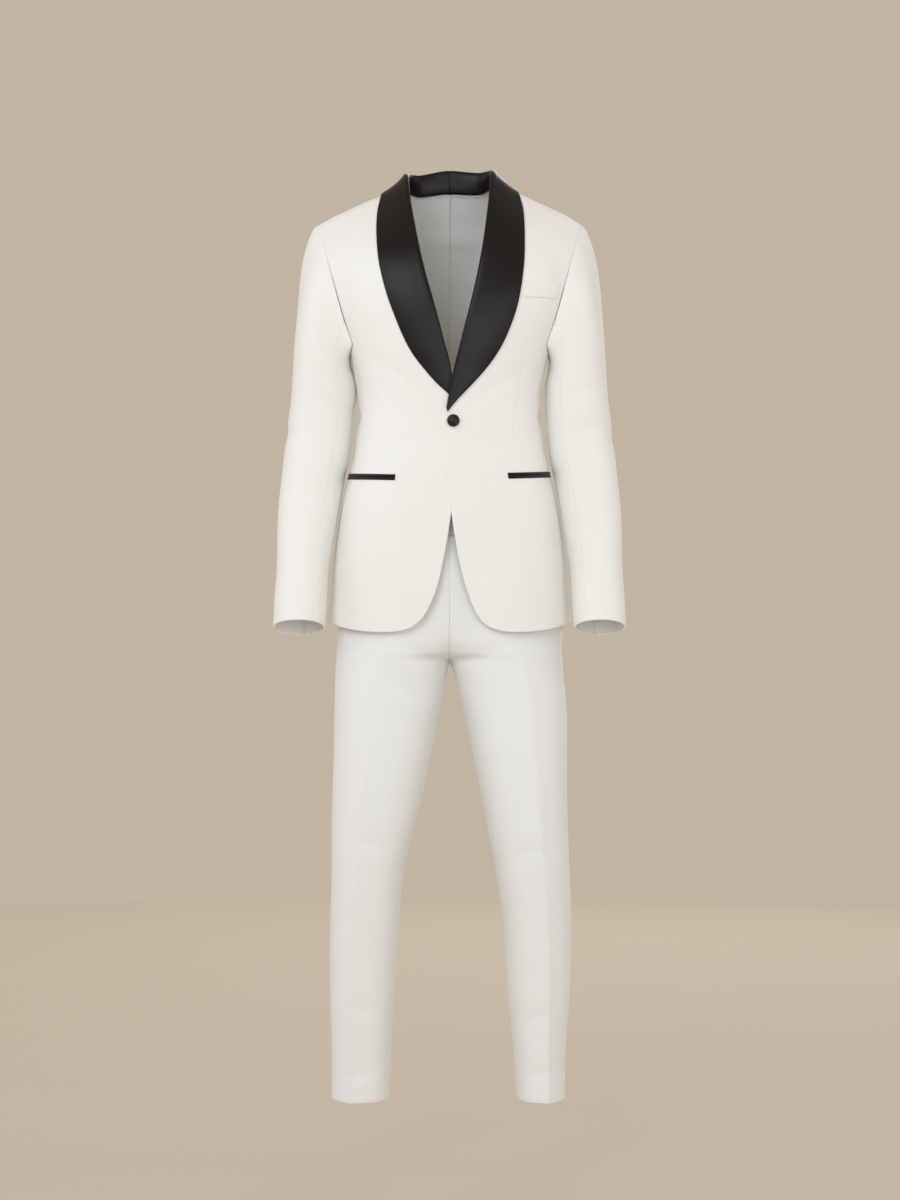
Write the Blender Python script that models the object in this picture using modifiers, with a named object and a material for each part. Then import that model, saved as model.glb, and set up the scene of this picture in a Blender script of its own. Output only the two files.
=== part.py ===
"""Shawl-collar dinner jacket and trousers in their worn pose, hollow, in metres, +Z up.

The front faces -Y and the wearer's left is at +X. The origin is at the base of the neck, between
the shoulders. Every cloth piece is an open surface between its seam lines, given a wall by Solidify.
"""
import math

import bpy
import numpy as np
from mathutils import Vector

OBJECT_NAME = "tuxedo"
LEFT, RIGHT = 1, -1
SIDE_NAMES = {LEFT: "left", RIGHT: "right"}

CLOTH_WALL = 0.0016
FACING_WALL = 0.0012
TROUSER_WALL = 0.0014
SEAM_GAP = 0.0003
SECTION_POWER = 2.4

# Jacket body, a row per level from hem to shoulder ridge. Depths run forward and back from middle,
# and drop is how far the side of the level lies below its centre.
BODY_COLUMNS = ("z", "half_width", "front", "back", "middle", "drop")
BODY = (
    (-0.707, 0.1995, 0.117, 0.124, 0.004, 0.000),
    (-0.651, 0.1935, 0.119, 0.127, 0.004, 0.000),
    (-0.600, 0.1900, 0.120, 0.128, 0.004, 0.000),
    (-0.545, 0.1830, 0.120, 0.123, 0.003, 0.000),
    (-0.494, 0.1740, 0.119, 0.113, 0.002, 0.000),
    (-0.445, 0.1620, 0.116, 0.102, 0.000, 0.000),
    (-0.390, 0.1510, 0.113, 0.096, 0.000, 0.000),
    (-0.336, 0.1460, 0.113, 0.098, 0.000, 0.000),
    (-0.290, 0.1520, 0.117, 0.108, 0.000, 0.000),
    (-0.245, 0.1650, 0.123, 0.118, 0.000, 0.000),
    (-0.190, 0.1880, 0.127, 0.126, 0.001, 0.004),
    (-0.137, 0.2040, 0.123, 0.128, 0.002, 0.014),
    (-0.084, 0.2150, 0.109, 0.119, 0.004, 0.036),
    (-0.032, 0.2230, 0.082, 0.096, 0.007, 0.062),
    (0.010, 0.2270, 0.052, 0.066, 0.010, 0.084),
    (0.0385, 0.2280, 0.026, 0.035, 0.012, 0.097),
    (0.0465, 0.2280, 0.000, 0.000, 0.012, 0.100),
)
RIDGE = len(BODY) - 1
DROP_ROUNDING = 0.030

# Front edges from hem to neck: how far past the centre line each front reaches at a height.
EDGE_COLUMNS = ("z", "left_x", "right_x")
FRONT_EDGE = (
    (-0.7070, 0.0980, 0.0960),
    (-0.7040, 0.0780, 0.0740),
    (-0.6950, 0.0575, 0.0545),
    (-0.6740, 0.0415, 0.0365),
    (-0.6345, 0.0265, 0.0200),
    (-0.5935, 0.0160, 0.0105),
    (-0.5535, 0.0088, 0.0030),
    (-0.5135, 0.0030, -0.0030),
    (-0.4780, -0.0015, -0.0098),
    (-0.4380, -0.0073, -0.0148),
    (-0.4010, -0.0100, -0.0166),
    (-0.3730, -0.0095, -0.0166),
    (-0.3490, -0.0044, -0.0146),
    (-0.3260, 0.0000, -0.0120),
    (-0.3040, 0.0048, -0.0070),
    (-0.2810, 0.0092, -0.0012),
    (-0.2400, 0.0200, 0.0108),
    (-0.1870, 0.0340, 0.0248),
    (-0.1310, 0.0470, 0.0408),
    (-0.0790, 0.0568, 0.0527),
    (-0.0350, 0.0630, 0.0613),
    (-0.0045, 0.0665, 0.0660),
    (0.0500, 0.0690, 0.0690),
)
NECK_INSET = 0.0030
LAPEL_INSET, LAPEL_FOOT, LAPEL_START = 0.0030, -0.359, -0.345
LAP_COLUMNS = ("z", "lift")
LAP = ((-0.620, 0.0), (-0.563, 0.0014), (-0.513, 0.0024), (-0.308, 0.0028), (-0.250, 0.0020),
       (-0.182, 0.0))
LAP_FULL, LAP_NONE = 0.022, 0.090

# Armhole edges, from the underarm corner (0) to the shoulder ridge (1), as turns from the side line.
ARMHOLE_COLUMNS = ("rise", "front_turn", "back_turn")
ARMHOLE = ((0.00, 22.0, 22.0), (0.15, 25.0, 25.5), (0.40, 27.0, 27.5), (0.70, 24.0, 24.5),
           (0.88, 19.0, 19.5), (1.00, 13.8, 13.8))
SIDE_SEAM_TURN = 22.0
UNDERARM_LEVEL = 9.1
UNDERARM_DIP = 0.30
RIDGE_GAP = 0.028
NECK_SIDE_X = 0.0765
NECK_CLEARANCE = 0.0070
NECK_LEVEL_CLEARANCE = 0.22
HEM_SIDE_RISE = 0.014

# The shoulders stand unevenly: how far each is lifted, and between which distances to the side and
# which heights the lift comes in.
SHOULDER_LIFT = {LEFT: (0.0060, 0.000, 0.075), RIGHT: (0.0032, 0.080, 0.140)}
SHOULDER_END = (0.185, 0.234)
SHOULDER_FADE = (-0.140, -0.030)


def column(table, columns, name):
    """One named column of a table as an array."""
    return np.array([row[columns.index(name)] for row in table], dtype=float)


def smooth(x, xs, ys):
    """A smooth curve through (xs, ys), with xs rising, read at x."""
    x = np.clip(np.asarray(x, dtype=float), xs[0], xs[-1])
    slopes = np.gradient(ys, xs)
    i = np.clip(np.searchsorted(xs, x, side="right") - 1, 0, len(xs) - 2)
    step = xs[i + 1] - xs[i]
    t = (x - xs[i]) / step
    rest = 1 - t
    return ((1 + 2 * t) * rest ** 2 * ys[i] + t * rest ** 2 * step * slopes[i]
            + t ** 2 * (3 - 2 * t) * ys[i + 1] - t ** 2 * rest * step * slopes[i + 1])


def read(table, columns, name, x):
    """The smooth value of a named column at x in the table's first column."""
    return smooth(x, column(table, columns, columns[0]), column(table, columns, name))


def ease(x, start, end):
    """0 before start, 1 after end, smooth between."""
    t = np.clip((np.asarray(x, dtype=float) - start) / (end - start), 0, 1)
    return t * t * (3 - 2 * t)


def power(values, exponent):
    """A power that keeps the sign."""
    return np.sign(values) * np.abs(values) ** exponent


# ---------------------------------------------------------------- jacket body surface

def body_values(level):
    """The body table's smooth values at a level, which counts its rows."""
    rows = np.arange(len(BODY), dtype=float)
    return [smooth(level, rows, column(BODY, BODY_COLUMNS, name)) for name in BODY_COLUMNS]


def body_surface(level, turn):
    """A point of the body: turn is in degrees, 90 at the centre front, 0 at the side, -90 behind."""
    level, turn = np.broadcast_arrays(np.asarray(level, float), np.asarray(turn, float))
    z, width, front, back, middle, drop = body_values(level)
    across = power(np.cos(np.radians(turn)), 2 / SECTION_POWER)
    along = power(np.sin(np.radians(turn)), 2 / SECTION_POWER)
    x = width * across
    y = middle - np.where(along > 0, front, back) * along
    sideways = np.sqrt(x ** 2 + DROP_ROUNDING ** 2) - DROP_ROUNDING
    z = z - drop * sideways / (width - DROP_ROUNDING / 2)
    low = np.clip((-0.58 - z) / 0.12, 0, 1)
    z = z + HEM_SIDE_RISE * ease(90 - np.abs(turn), 30, 85) * low
    return np.stack([x, y, z], axis=-1)


def body_point(level, turn, out=0.0):
    """A point of the body moved out along its normal."""
    point = body_surface(level, turn)
    out = np.asarray(out, float)
    if not np.any(out):
        return point
    level, turn = np.asarray(level, float), np.asarray(turn, float)
    up = body_surface(np.minimum(level + 0.05, RIDGE), turn) - body_surface(level - 0.05, turn)
    around = body_surface(level, turn - 1.0) - body_surface(level, turn + 1.0)
    normal = np.cross(around, up)
    length = np.linalg.norm(normal, axis=-1, keepdims=True)
    return point + normal / np.maximum(length, 1e-12) * out[..., None]


def level_at_height(z, turn):
    """The level whose point at this turn has height z."""
    levels = np.linspace(0, RIDGE, 600)
    heights = body_surface(levels, turn)[:, 2]
    return float(np.interp(z, heights, levels))


def turn_at_x(level, x):
    """The turn where the level's surface stands x to the side."""
    width = body_values(level)[1]
    ratio = np.clip(np.asarray(x, float) / width, -1, 1)
    return np.degrees(np.arccos(power(ratio, SECTION_POWER / 2)))


def front_edge_turn(level, side):
    """Where a front ends towards the centre: its closing edge, and above it just inside the roll line."""
    name = "left_x" if side == LEFT else "right_x"
    z = body_values(level)[0]
    turn = 90.0
    for _ in range(6):
        x = read(FRONT_EDGE, EDGE_COLUMNS, name, z) + LAPEL_INSET * ease(z, LAPEL_FOOT, LAPEL_START)
        x = x + NECK_INSET * ease(z, -0.04, 0.02)
        turn = turn_at_x(level, x)
        z = body_surface(level, turn)[..., 2]
    return float(turn)


def armhole_turn(level, name):
    """The turn of the armhole edge at a level, or of the side seam under it."""
    rise = (level - UNDERARM_LEVEL) / (RIDGE - UNDERARM_LEVEL)
    if rise <= 0:
        return SIDE_SEAM_TURN
    return float(read(ARMHOLE, ARMHOLE_COLUMNS, name, rise))


def lap_lift(point):
    """How far the left front stands off the right one near the closing edge."""
    near = 1 - ease(point[..., 0], LAP_FULL, LAP_NONE)
    heights = column(LAP, LAP_COLUMNS, "z")
    lift = np.interp(point[..., 2], heights, column(LAP, LAP_COLUMNS, "lift"))
    return near * lift


# ---------------------------------------------------------------- meshes and materials

def plain_material(name, colour, roughness):
    material = bpy.data.materials.new(name)
    material.use_nodes = True
    shader = material.node_tree.nodes["Principled BSDF"]
    shader.inputs["Base Color"].default_value = (*colour, 1.0)
    shader.inputs["Roughness"].default_value = roughness
    shader.inputs["Metallic"].default_value = 0.0
    material.diffuse_color = (*colour, 1.0)
    return material


def add_mesh(name, points, faces, material):
    mesh = bpy.data.meshes.new(name)
    mesh.from_pydata([tuple(p) for p in points], [], faces)
    mesh.materials.append(material)
    mesh.shade_smooth()
    piece = bpy.data.objects.new(name, mesh)
    bpy.data.collections[OBJECT_NAME].objects.link(piece)
    return piece


def add_sheet(name, grid, wall, material):
    """A cloth wall round a grid of points, indexed by row and column, centred on them."""
    grid = np.asarray(grid, float)
    rows, columns = grid.shape[:2]
    faces = []
    for row in range(rows - 1):
        for col in range(columns - 1):
            a = row * columns + col
            faces.append((a, a + 1, a + columns + 1, a + columns))
    piece = add_mesh(name, grid.reshape(-1, 3), faces, material)
    solidify = piece.modifiers.new("wall", "SOLIDIFY")
    solidify.thickness = wall
    solidify.offset = 0.0
    return piece


def mirrored(grid, side):
    """The grid for one side: as made for +X, or its mirror image, with that shoulder's lift."""
    grid = np.array(grid, dtype=float)
    lift, start, full = SHOULDER_LIFT[side]
    raised = ease(grid[..., 0], start, full) * (1 - ease(grid[..., 0], *SHOULDER_END))
    grid[..., 2] += lift * raised * ease(grid[..., 2], *SHOULDER_FADE)
    grid[..., 0] *= side
    return grid


# ---------------------------------------------------------------- jacket body panels

LOW_FRONT_ROWS = (0.0, 0.06, 0.22, 0.60)
SHARED_ROWS = (1.3, 2.1, 3.0, 4.0, 5.0, 6.0, 7.0, 8.1, UNDERARM_LEVEL)
ARMHOLE_ROWS = (9.55, 10.05, 10.6, 11.15, 11.7, 12.25, 12.8, 13.4, 14.0, 14.6, 15.2, 15.65, RIDGE - RIDGE_GAP)
BACK_ARMHOLE_ROWS = (9.9, 11.0, 12.2, 13.3, 14.3, 15.2, RIDGE - RIDGE_GAP)
NECK_COLUMNS_X = (0.0002, 0.030, 0.052, 0.066, 0.0735, NECK_SIDE_X)
GAP_TURN = 0.16
FRONT_COLUMNS = 9
SIDE_COLUMNS = 4
BACK_COLUMNS = 4


def front_grid(side):
    """A front, from its closing edge and roll line to the side seam and the armhole."""
    grid = []
    for level in LOW_FRONT_ROWS + SHARED_ROWS + ARMHOLE_ROWS:
        inner = front_edge_turn(level, side)
        outer = armhole_turn(level, "front_turn") + GAP_TURN
        turns = np.linspace(inner, outer, FRONT_COLUMNS)
        points = body_point(np.full(FRONT_COLUMNS, level), turns)
        lift = lap_lift(points) if side == LEFT else np.zeros(FRONT_COLUMNS)
        grid.append(body_point(np.full(FRONT_COLUMNS, level), turns, lift))
    return mirrored(grid, side)


def side_top_level(turn):
    """The side body's top edge, the bottom of the armhole."""
    share = turn / SIDE_SEAM_TURN
    return UNDERARM_LEVEL - UNDERARM_DIP * (1 - share ** 2)


def side_grid(side):
    """A side body, between the side seams and under the armhole."""
    turns = np.linspace(SIDE_SEAM_TURN - GAP_TURN, -SIDE_SEAM_TURN + GAP_TURN, SIDE_COLUMNS)
    rows = (0.0,) + SHARED_ROWS
    grid = []
    for row, level in enumerate(rows):
        levels = np.full(SIDE_COLUMNS, float(level))
        if row == len(rows) - 1:
            levels = side_top_level(turns)
        grid.append(body_point(levels, turns))
    return mirrored(grid, side)


def back_top_level(x):
    """The back's top edge: the neckline, just outside the collar's foot, then the shoulder ridge."""
    collar_x = column(COLLAR, COLLAR_COLUMNS, "roll_x")[::-1]
    collar_path = column(COLLAR, COLLAR_COLUMNS, "roll_path")[::-1]
    foot = np.interp(np.maximum(np.abs(x) - NECK_CLEARANCE, 0), collar_x, collar_path)
    return np.minimum(RIDGE - RIDGE_GAP, 2 * RIDGE - foot - NECK_LEVEL_CLEARANCE)


def back_grid(side):
    """A back, from the centre back seam to the side seam and the armhole."""
    neck_turn = -turn_at_x(RIDGE, NECK_SIDE_X)
    grid = []
    for level in (0.0,) + SHARED_ROWS + BACK_ARMHOLE_ROWS:
        outer = -armhole_turn(level, "back_turn") - GAP_TURN
        inner_turns = -turn_at_x(RIDGE, np.array(NECK_COLUMNS_X))
        turns = np.concatenate([inner_turns, np.linspace(neck_turn, outer, BACK_COLUMNS)[1:]])
        levels = np.full(len(turns), float(level))
        if level > UNDERARM_LEVEL:
            share = (level - UNDERARM_LEVEL) / (RIDGE - RIDGE_GAP - UNDERARM_LEVEL)
            ridge_x = body_surface(np.full(len(turns), float(RIDGE)), turns)[:, 0]
            levels = UNDERARM_LEVEL + (back_top_level(ridge_x) - UNDERARM_LEVEL) * share
        grid.append(body_point(levels, turns))
    return mirrored(np.array(grid)[:, ::-1], side)


# ---------------------------------------------------------------- sleeves

SLEEVE_COLUMNS = ("z", "outer", "inner", "half_depth", "middle", "lean", "tilt")
SLEEVE = (
    (-0.700, 0.2845, 0.2020, 0.0460, -0.070, 0.28, 0.00),
    (-0.651, 0.2830, 0.1990, 0.0465, -0.057, 0.28, 0.00),
    (-0.612, 0.2805, 0.1975, 0.0470, -0.046, 0.28, 0.00),
    (-0.572, 0.2800, 0.1920, 0.0480, -0.035, 0.28, 0.00),
    (-0.533, 0.2800, 0.1850, 0.0490, -0.024, 0.26, 0.00),
    (-0.494, 0.2780, 0.1785, 0.0505, -0.014, 0.22, 0.00),
    (-0.454, 0.2740, 0.1715, 0.0530, -0.006, 0.16, 0.01),
    (-0.415, 0.2700, 0.1640, 0.0560, 0.002, 0.10, 0.03),
    (-0.376, 0.2650, 0.1600, 0.0600, 0.008, 0.04, 0.06),
    (-0.336, 0.2600, 0.1580, 0.0625, 0.009, 0.00, 0.10),
    (-0.297, 0.2570, 0.1590, 0.0640, 0.008, 0.00, 0.16),
    (-0.272, 0.2555, 0.1640, 0.0650, 0.006, 0.00, 0.22),
)
SLEEVE_POWER = 2.1
SLEEVE_RINGS = (-0.272, -0.315, -0.365, -0.420, -0.478, -0.540, -0.612, -0.700)
CAP_ROWS = (0.0, 0.15, 0.40, 0.70)
CAP_CLEARANCE = 0.0018
UNDERARM_CLEARANCE = 0.0028
FRONT_SLEEVE_SEAM, BACK_SLEEVE_SEAM = 124.0, 262.0
SEAM_ANGLE_GAP = 0.45


def armhole_loop(half, share):
    """The armhole at a share of its way from the shoulder to the underarm, down the front or back."""
    name = "front_turn" if half == "front" else "back_turn"
    sign = 1 if half == "front" else -1
    points = []
    for level in np.linspace(RIDGE, UNDERARM_LEVEL, 40):
        points.append(body_surface(level, sign * armhole_turn(level, name)))
    for turn in np.linspace(sign * SIDE_SEAM_TURN, 0, 12)[1:]:
        points.append(body_surface(side_top_level(turn), turn))
    points = np.array(points)
    lengths = np.concatenate([[0], np.cumsum(np.linalg.norm(np.diff(points, axis=0), axis=1))])
    return np.array([np.interp(share * lengths[-1], lengths, points[:, k]) for k in range(3)])


def armhole_point(angle):
    """The armhole point for a sleeve angle: 0 at the shoulder, 90 front, 180 underarm, 270 behind."""
    angle = angle % 360
    if angle <= 180:
        return armhole_loop("front", angle / 180)
    return armhole_loop("back", (360 - angle) / 180)


def sleeve_ring_point(z, angle):
    """A point of the arm's sections: 0 outer, 90 front, 180 inner, 270 behind."""
    c = power(math.cos(math.radians(angle)), 2 / SLEEVE_POWER)
    s = power(math.sin(math.radians(angle)), 2 / SLEEVE_POWER)
    lean = float(read(SLEEVE, SLEEVE_COLUMNS, "lean", z))
    tilt = float(read(SLEEVE, SLEEVE_COLUMNS, "tilt", z))
    depth = float(read(SLEEVE, SLEEVE_COLUMNS, "half_depth", z))
    middle = float(read(SLEEVE, SLEEVE_COLUMNS, "middle", z))
    outer = float(read(SLEEVE, SLEEVE_COLUMNS, "outer", z))
    inner = float(read(SLEEVE, SLEEVE_COLUMNS, "inner", z))
    half = (outer - inner) / 2
    return np.array([(outer + inner) / 2 + half * c, middle - depth * s,
                     z + lean * depth * s + tilt * half * c])


def sleeve_cap_point(share, angle):
    """A point between the armhole and the first arm section."""
    start = armhole_point(angle)
    end = sleeve_ring_point(SLEEVE_RINGS[0], angle)
    lower = sleeve_ring_point(SLEEVE_RINGS[1], angle)
    s = math.sin(math.radians(angle))
    leave = np.array([0.5 + 0.3 * s * s, -0.30 * s, -0.87 + 0.3 * s * s])
    leave /= np.linalg.norm(leave)
    arrive = (end - lower) / np.linalg.norm(end - lower)
    under = float(ease(-math.cos(math.radians(angle)), 0.2, 0.9))
    start = start + leave * CAP_CLEARANCE * (1 - under) + np.array([UNDERARM_CLEARANCE * under, 0, 0])
    reach = np.linalg.norm(end - start)
    b1 = start + leave * reach * 0.22
    b2 = end + arrive * reach * 0.45
    t, r = share, 1 - share
    return r ** 3 * start + 3 * r * r * t * b1 + 3 * r * t * t * b2 + t ** 3 * end


def sleeve_grid(side, angles):
    """A sleeve piece between its seams, from the armhole to the cuff."""
    grid = [[sleeve_cap_point(share, angle) for angle in angles] for share in CAP_ROWS]
    grid += [[sleeve_ring_point(z, angle) for angle in angles] for z in SLEEVE_RINGS]
    return mirrored(grid, side)


def top_sleeve_angles():
    return np.linspace(BACK_SLEEVE_SEAM - 360 + SEAM_ANGLE_GAP, FRONT_SLEEVE_SEAM - SEAM_ANGLE_GAP, 10)


def under_sleeve_angles():
    return np.linspace(FRONT_SLEEVE_SEAM + SEAM_ANGLE_GAP, BACK_SLEEVE_SEAM - SEAM_ANGLE_GAP, 6)


# ---------------------------------------------------------------- collar and lapels

# The lapels from the foot up, a row per station: the roll line's height, the outer edge's place, and
# how far the satin wraps round the roll line to the inside.
LAPEL_COLUMNS = ("roll_z", "edge_x", "edge_z", "wrap", "stand")
LAPELS = {
    LEFT: (
        (-0.3490, -0.0030, -0.3545, 0.0, 0.000),
        (-0.3260, 0.0127, -0.3345, 0.0, 0.000),
        (-0.3040, 0.0371, -0.3080, 0.0, 0.000),
        (-0.2810, 0.0641, -0.2760, 0.3, 0.000),
        (-0.2400, 0.0905, -0.2310, 1.0, 0.000),
        (-0.1870, 0.1083, -0.1805, 1.0, 0.001),
        (-0.1310, 0.1180, -0.1225, 1.0, 0.002),
        (-0.0790, 0.1202, -0.0710, 1.0, 0.004),
        (-0.0350, 0.1187, -0.0300, 1.0, 0.008),
        (-0.0045, 0.1138, -0.0060, 1.0, 0.013),
    ),
    RIGHT: (
        (-0.2830, 0.0030, -0.3240, 0.3, 0.000),
        (-0.2670, 0.0248, -0.3033, 1.0, 0.000),
        (-0.2400, 0.0545, -0.2666, 1.0, 0.000),
        (-0.2070, 0.0793, -0.2192, 1.0, 0.000),
        (-0.1720, 0.0987, -0.1680, 1.0, 0.001),
        (-0.1310, 0.1116, -0.1178, 1.0, 0.002),
        (-0.0790, 0.1167, -0.0710, 1.0, 0.004),
        (-0.0350, 0.1162, -0.0317, 1.0, 0.008),
        (-0.0045, 0.1118, -0.0050, 1.0, 0.013),
    ),
}
# The collar from the shoulder ridge to the centre back. A path counts levels up the front, over the
# ridge and down the back, and stand is how high the roll line stands over the neckline.
COLLAR_COLUMNS = ("roll_x", "roll_path", "edge_x", "edge_path", "stand")
COLLAR = (
    (0.0690, 16.00, 0.1040, 16.55, 0.018),
    (0.0655, 16.75, 0.0930, 17.35, 0.022),
    (0.0510, 17.30, 0.0680, 17.90, 0.026),
    (0.0280, 17.50, 0.0360, 18.15, 0.028),
    (0.0002, 17.55, 0.0002, 18.25, 0.029),
)
FALL_OUT, UNDER_OUT = 0.0054, 0.0031
FALL_SHARES = (0.07, 0.22, 0.42, 0.62, 0.82, 1.0)
UNDER_SHARES = (0.12, 0.55, 1.0)
UNDER_REACH = 0.0014
# Where the satin goes from the inside round the roll line: along the lapel and out from the cloth,
# with a full wrap and with none.
FULL_WRAP = ((0.0060, -0.0034), (0.0006, -0.0028), (-0.0018, 0.0008))
EDGE_WRAP = ((-0.0004, -0.0008), (-0.0008, 0.0010), (-0.0008, 0.0032))


def path_surface(path, x, out=0.0):
    """A point of the body x to the side, at a path over the shoulder from front to back."""
    path, x = np.broadcast_arrays(np.asarray(path, float), np.asarray(x, float))
    behind = path > RIDGE
    level = np.where(behind, 2 * RIDGE - path, path)
    turn = turn_at_x(level, x)
    return body_point(level, np.where(behind, -turn, turn), out)


def path_at_height(x, z):
    """The path on the front where the body x to the side has height z."""
    levels = np.linspace(3, RIDGE, 400)
    heights = body_surface(levels, turn_at_x(levels, np.full(400, x)))[:, 2]
    return float(np.interp(z, heights, levels))


def collar_stations(side):
    """Rows of roll_x, roll_path, edge_x, edge_path, stand and wrap, from the lapel's foot to the back."""
    stations = []
    name = "left_x" if side == LEFT else "right_x"
    named = [column(LAPELS[side], LAPEL_COLUMNS, label) for label in LAPEL_COLUMNS]
    for roll_z, edge_x, edge_z, wrap, stand in zip(*named):
        roll_x = float(read(FRONT_EDGE, EDGE_COLUMNS, name, roll_z))
        stations.append((roll_x, path_at_height(roll_x, roll_z),
                         edge_x, path_at_height(edge_x, edge_z), stand, wrap))
    return np.array(stations + [row + (1.0,) for row in COLLAR])


def station_at(stations, place):
    """The station's smooth values at a place, which counts the stations."""
    rows = np.arange(len(stations), dtype=float)
    return [float(smooth(place, rows, stations[:, k])) for k in range(stations.shape[1])]


def with_lap(side, path, x, out):
    """A path point, with the left lapel lifted over the right front."""
    point = path_surface(path, x)
    lift = lap_lift(point) if side == LEFT else 0.0
    return path_surface(path, x, out + lift)


def fall_point(side, station, share, out, reach=0.0):
    """A point of the collar's fall or the lapel: share runs from the roll line to the outer edge."""
    roll_x, roll_path, edge_x, edge_path, stand, _ = station
    x = roll_x + (edge_x - roll_x) * share
    path = roll_path + (edge_path - roll_path) * share
    point = with_lap(side, path, x, out)
    if reach:
        inner = with_lap(side, path - (edge_path - roll_path) * 0.05, x - (edge_x - roll_x) * 0.05, out)
        along = (point - inner) / np.linalg.norm(point - inner)
        point = point + along * reach
    point[2] += stand * (1 - share) ** 1.6
    return point


def wrap_point(side, station, step):
    """A point where the satin comes round the roll line from the inside, or stands as the collar."""
    roll_x, roll_path, edge_x, edge_path, stand, wrap = station
    full, edge = FULL_WRAP[step], EDGE_WRAP[step]
    along_by = full[0] * wrap + edge[0] * (1 - wrap)
    out_by = full[1] * wrap + edge[1] * (1 - wrap)
    base = with_lap(side, roll_path, roll_x, 0.0)
    near = with_lap(side, roll_path + (edge_path - roll_path) * 0.08,
                    roll_x + (edge_x - roll_x) * 0.08, 0.0)
    along = (near - base) / np.linalg.norm(near - base)
    raised = with_lap(side, roll_path, roll_x, 0.001)
    outward = (raised - base) / np.linalg.norm(raised - base)
    point = base + along * along_by + outward * out_by
    point[2] += stand * (step / 2) ** 1.5
    return point


def shawl_grid(side, places):
    stations = collar_stations(side)
    grid = []
    for place in places:
        station = station_at(stations, place)
        row = [wrap_point(side, station, step) for step in range(3)]
        row += [fall_point(side, station, share, FALL_OUT) for share in FALL_SHARES]
        grid.append(row)
    return mirrored(grid, side)


def under_lapel_grid(side, places):
    stations = collar_stations(side)
    grid = []
    for place in places:
        station = station_at(stations, place)
        row = [fall_point(side, station, share, UNDER_OUT) for share in UNDER_SHARES]
        row[-1] = fall_point(side, station, 1.0, UNDER_OUT, UNDER_REACH)
        grid.append(row)
    return mirrored(grid, side)


def collar_places(side):
    """Places for the rows of the collar strips."""
    last = len(LAPELS[side]) + len(COLLAR) - 1
    return np.linspace(0, last, 2 * last - 1)


# ---------------------------------------------------------------- pockets and button

JET_HEIGHT, JET_GAP, JET_OUT = 0.0042, 0.0006, 0.0018
JET_WALL = 0.0012
HIP_POCKET_TURNS = {LEFT: (59.5, 2.0), RIGHT: (62.5, 2.0)}
HIP_POCKET_Z = {LEFT: (-0.4565, -0.4510), RIGHT: (-0.4590, -0.4545)}
WELT_TURNS = (57.0, 33.0)
WELT_TOP, WELT_HEIGHT, WELT_LIFT = -0.1438, 0.0256, 0.0020
BUTTON_PLACE = (0.0061, -0.3685)
# The button's outline, as radius and height over the cloth, from the top of its dome down to its shank.
BUTTON_PROFILE = ((0.0, 0.0074), (0.0034, 0.0073), (0.0066, 0.0068), (0.0092, 0.0056), (0.0100, 0.0042),
                  (0.0098, 0.0030), (0.0085, 0.0022), (0.0030, 0.0020), (0.0030, 0.0), (0.0, 0.0))
MERGE_DISTANCE = 0.0001
BUTTON_SIDES = 20


def strip_on_body(turns, middle_heights, height, out, side, columns=4):
    """A strip lying on the body along the given turns, centred on the given heights."""
    grid = []
    for offset in np.linspace(-height / 2, height / 2, columns):
        row = []
        for turn, middle in zip(turns, middle_heights):
            level = level_at_height(middle + offset, turn)
            row.append(body_point(level, turn, out))
        grid.append(row)
    return mirrored(grid, side)


def jet_grid(side, upper):
    """A thin satin jet along a hip pocket."""
    turns = np.linspace(*HIP_POCKET_TURNS[side], 10)
    middles = np.linspace(*HIP_POCKET_Z[side], 10)
    shift = (JET_HEIGHT + JET_GAP) / 2 * (1 if upper else -1)
    return strip_on_body(turns, middles + shift, JET_HEIGHT, JET_OUT, side, 2)


def welt_grid():
    turns = np.linspace(*WELT_TURNS, 6)
    middles = np.full(6, WELT_TOP - WELT_HEIGHT / 2)
    return strip_on_body(turns, middles, WELT_HEIGHT, WELT_LIFT, LEFT, 3)


def add_button(material):
    """A domed covered button on its shank, turned round the axis that points out of the cloth."""
    x, z = BUTTON_PLACE
    path = path_at_height(x, z)
    base = with_lap(LEFT, path, x, 0.0)
    top = with_lap(LEFT, path, x, 0.001)
    outward = (top - base) / np.linalg.norm(top - base)
    origin = base + outward * (CLOTH_WALL / 2 + SEAM_GAP)
    mesh = bpy.data.meshes.new("button")
    points = [(radius, 0.0, height) for radius, height in BUTTON_PROFILE]
    mesh.from_pydata(points, [(k, k + 1) for k in range(len(points) - 1)], [])
    mesh.materials.append(material)
    piece = bpy.data.objects.new("button", mesh)
    bpy.data.collections[OBJECT_NAME].objects.link(piece)
    piece.location = origin
    piece.rotation_mode = "QUATERNION"
    piece.rotation_quaternion = Vector(outward).to_track_quat("Z", "Y")
    screw = piece.modifiers.new("turn", "SCREW")
    screw.steps = BUTTON_SIDES
    screw.render_steps = BUTTON_SIDES
    screw.use_merge_vertices = True
    screw.merge_threshold = MERGE_DISTANCE
    screw.use_smooth_shade = True


# ---------------------------------------------------------------- trousers

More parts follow.
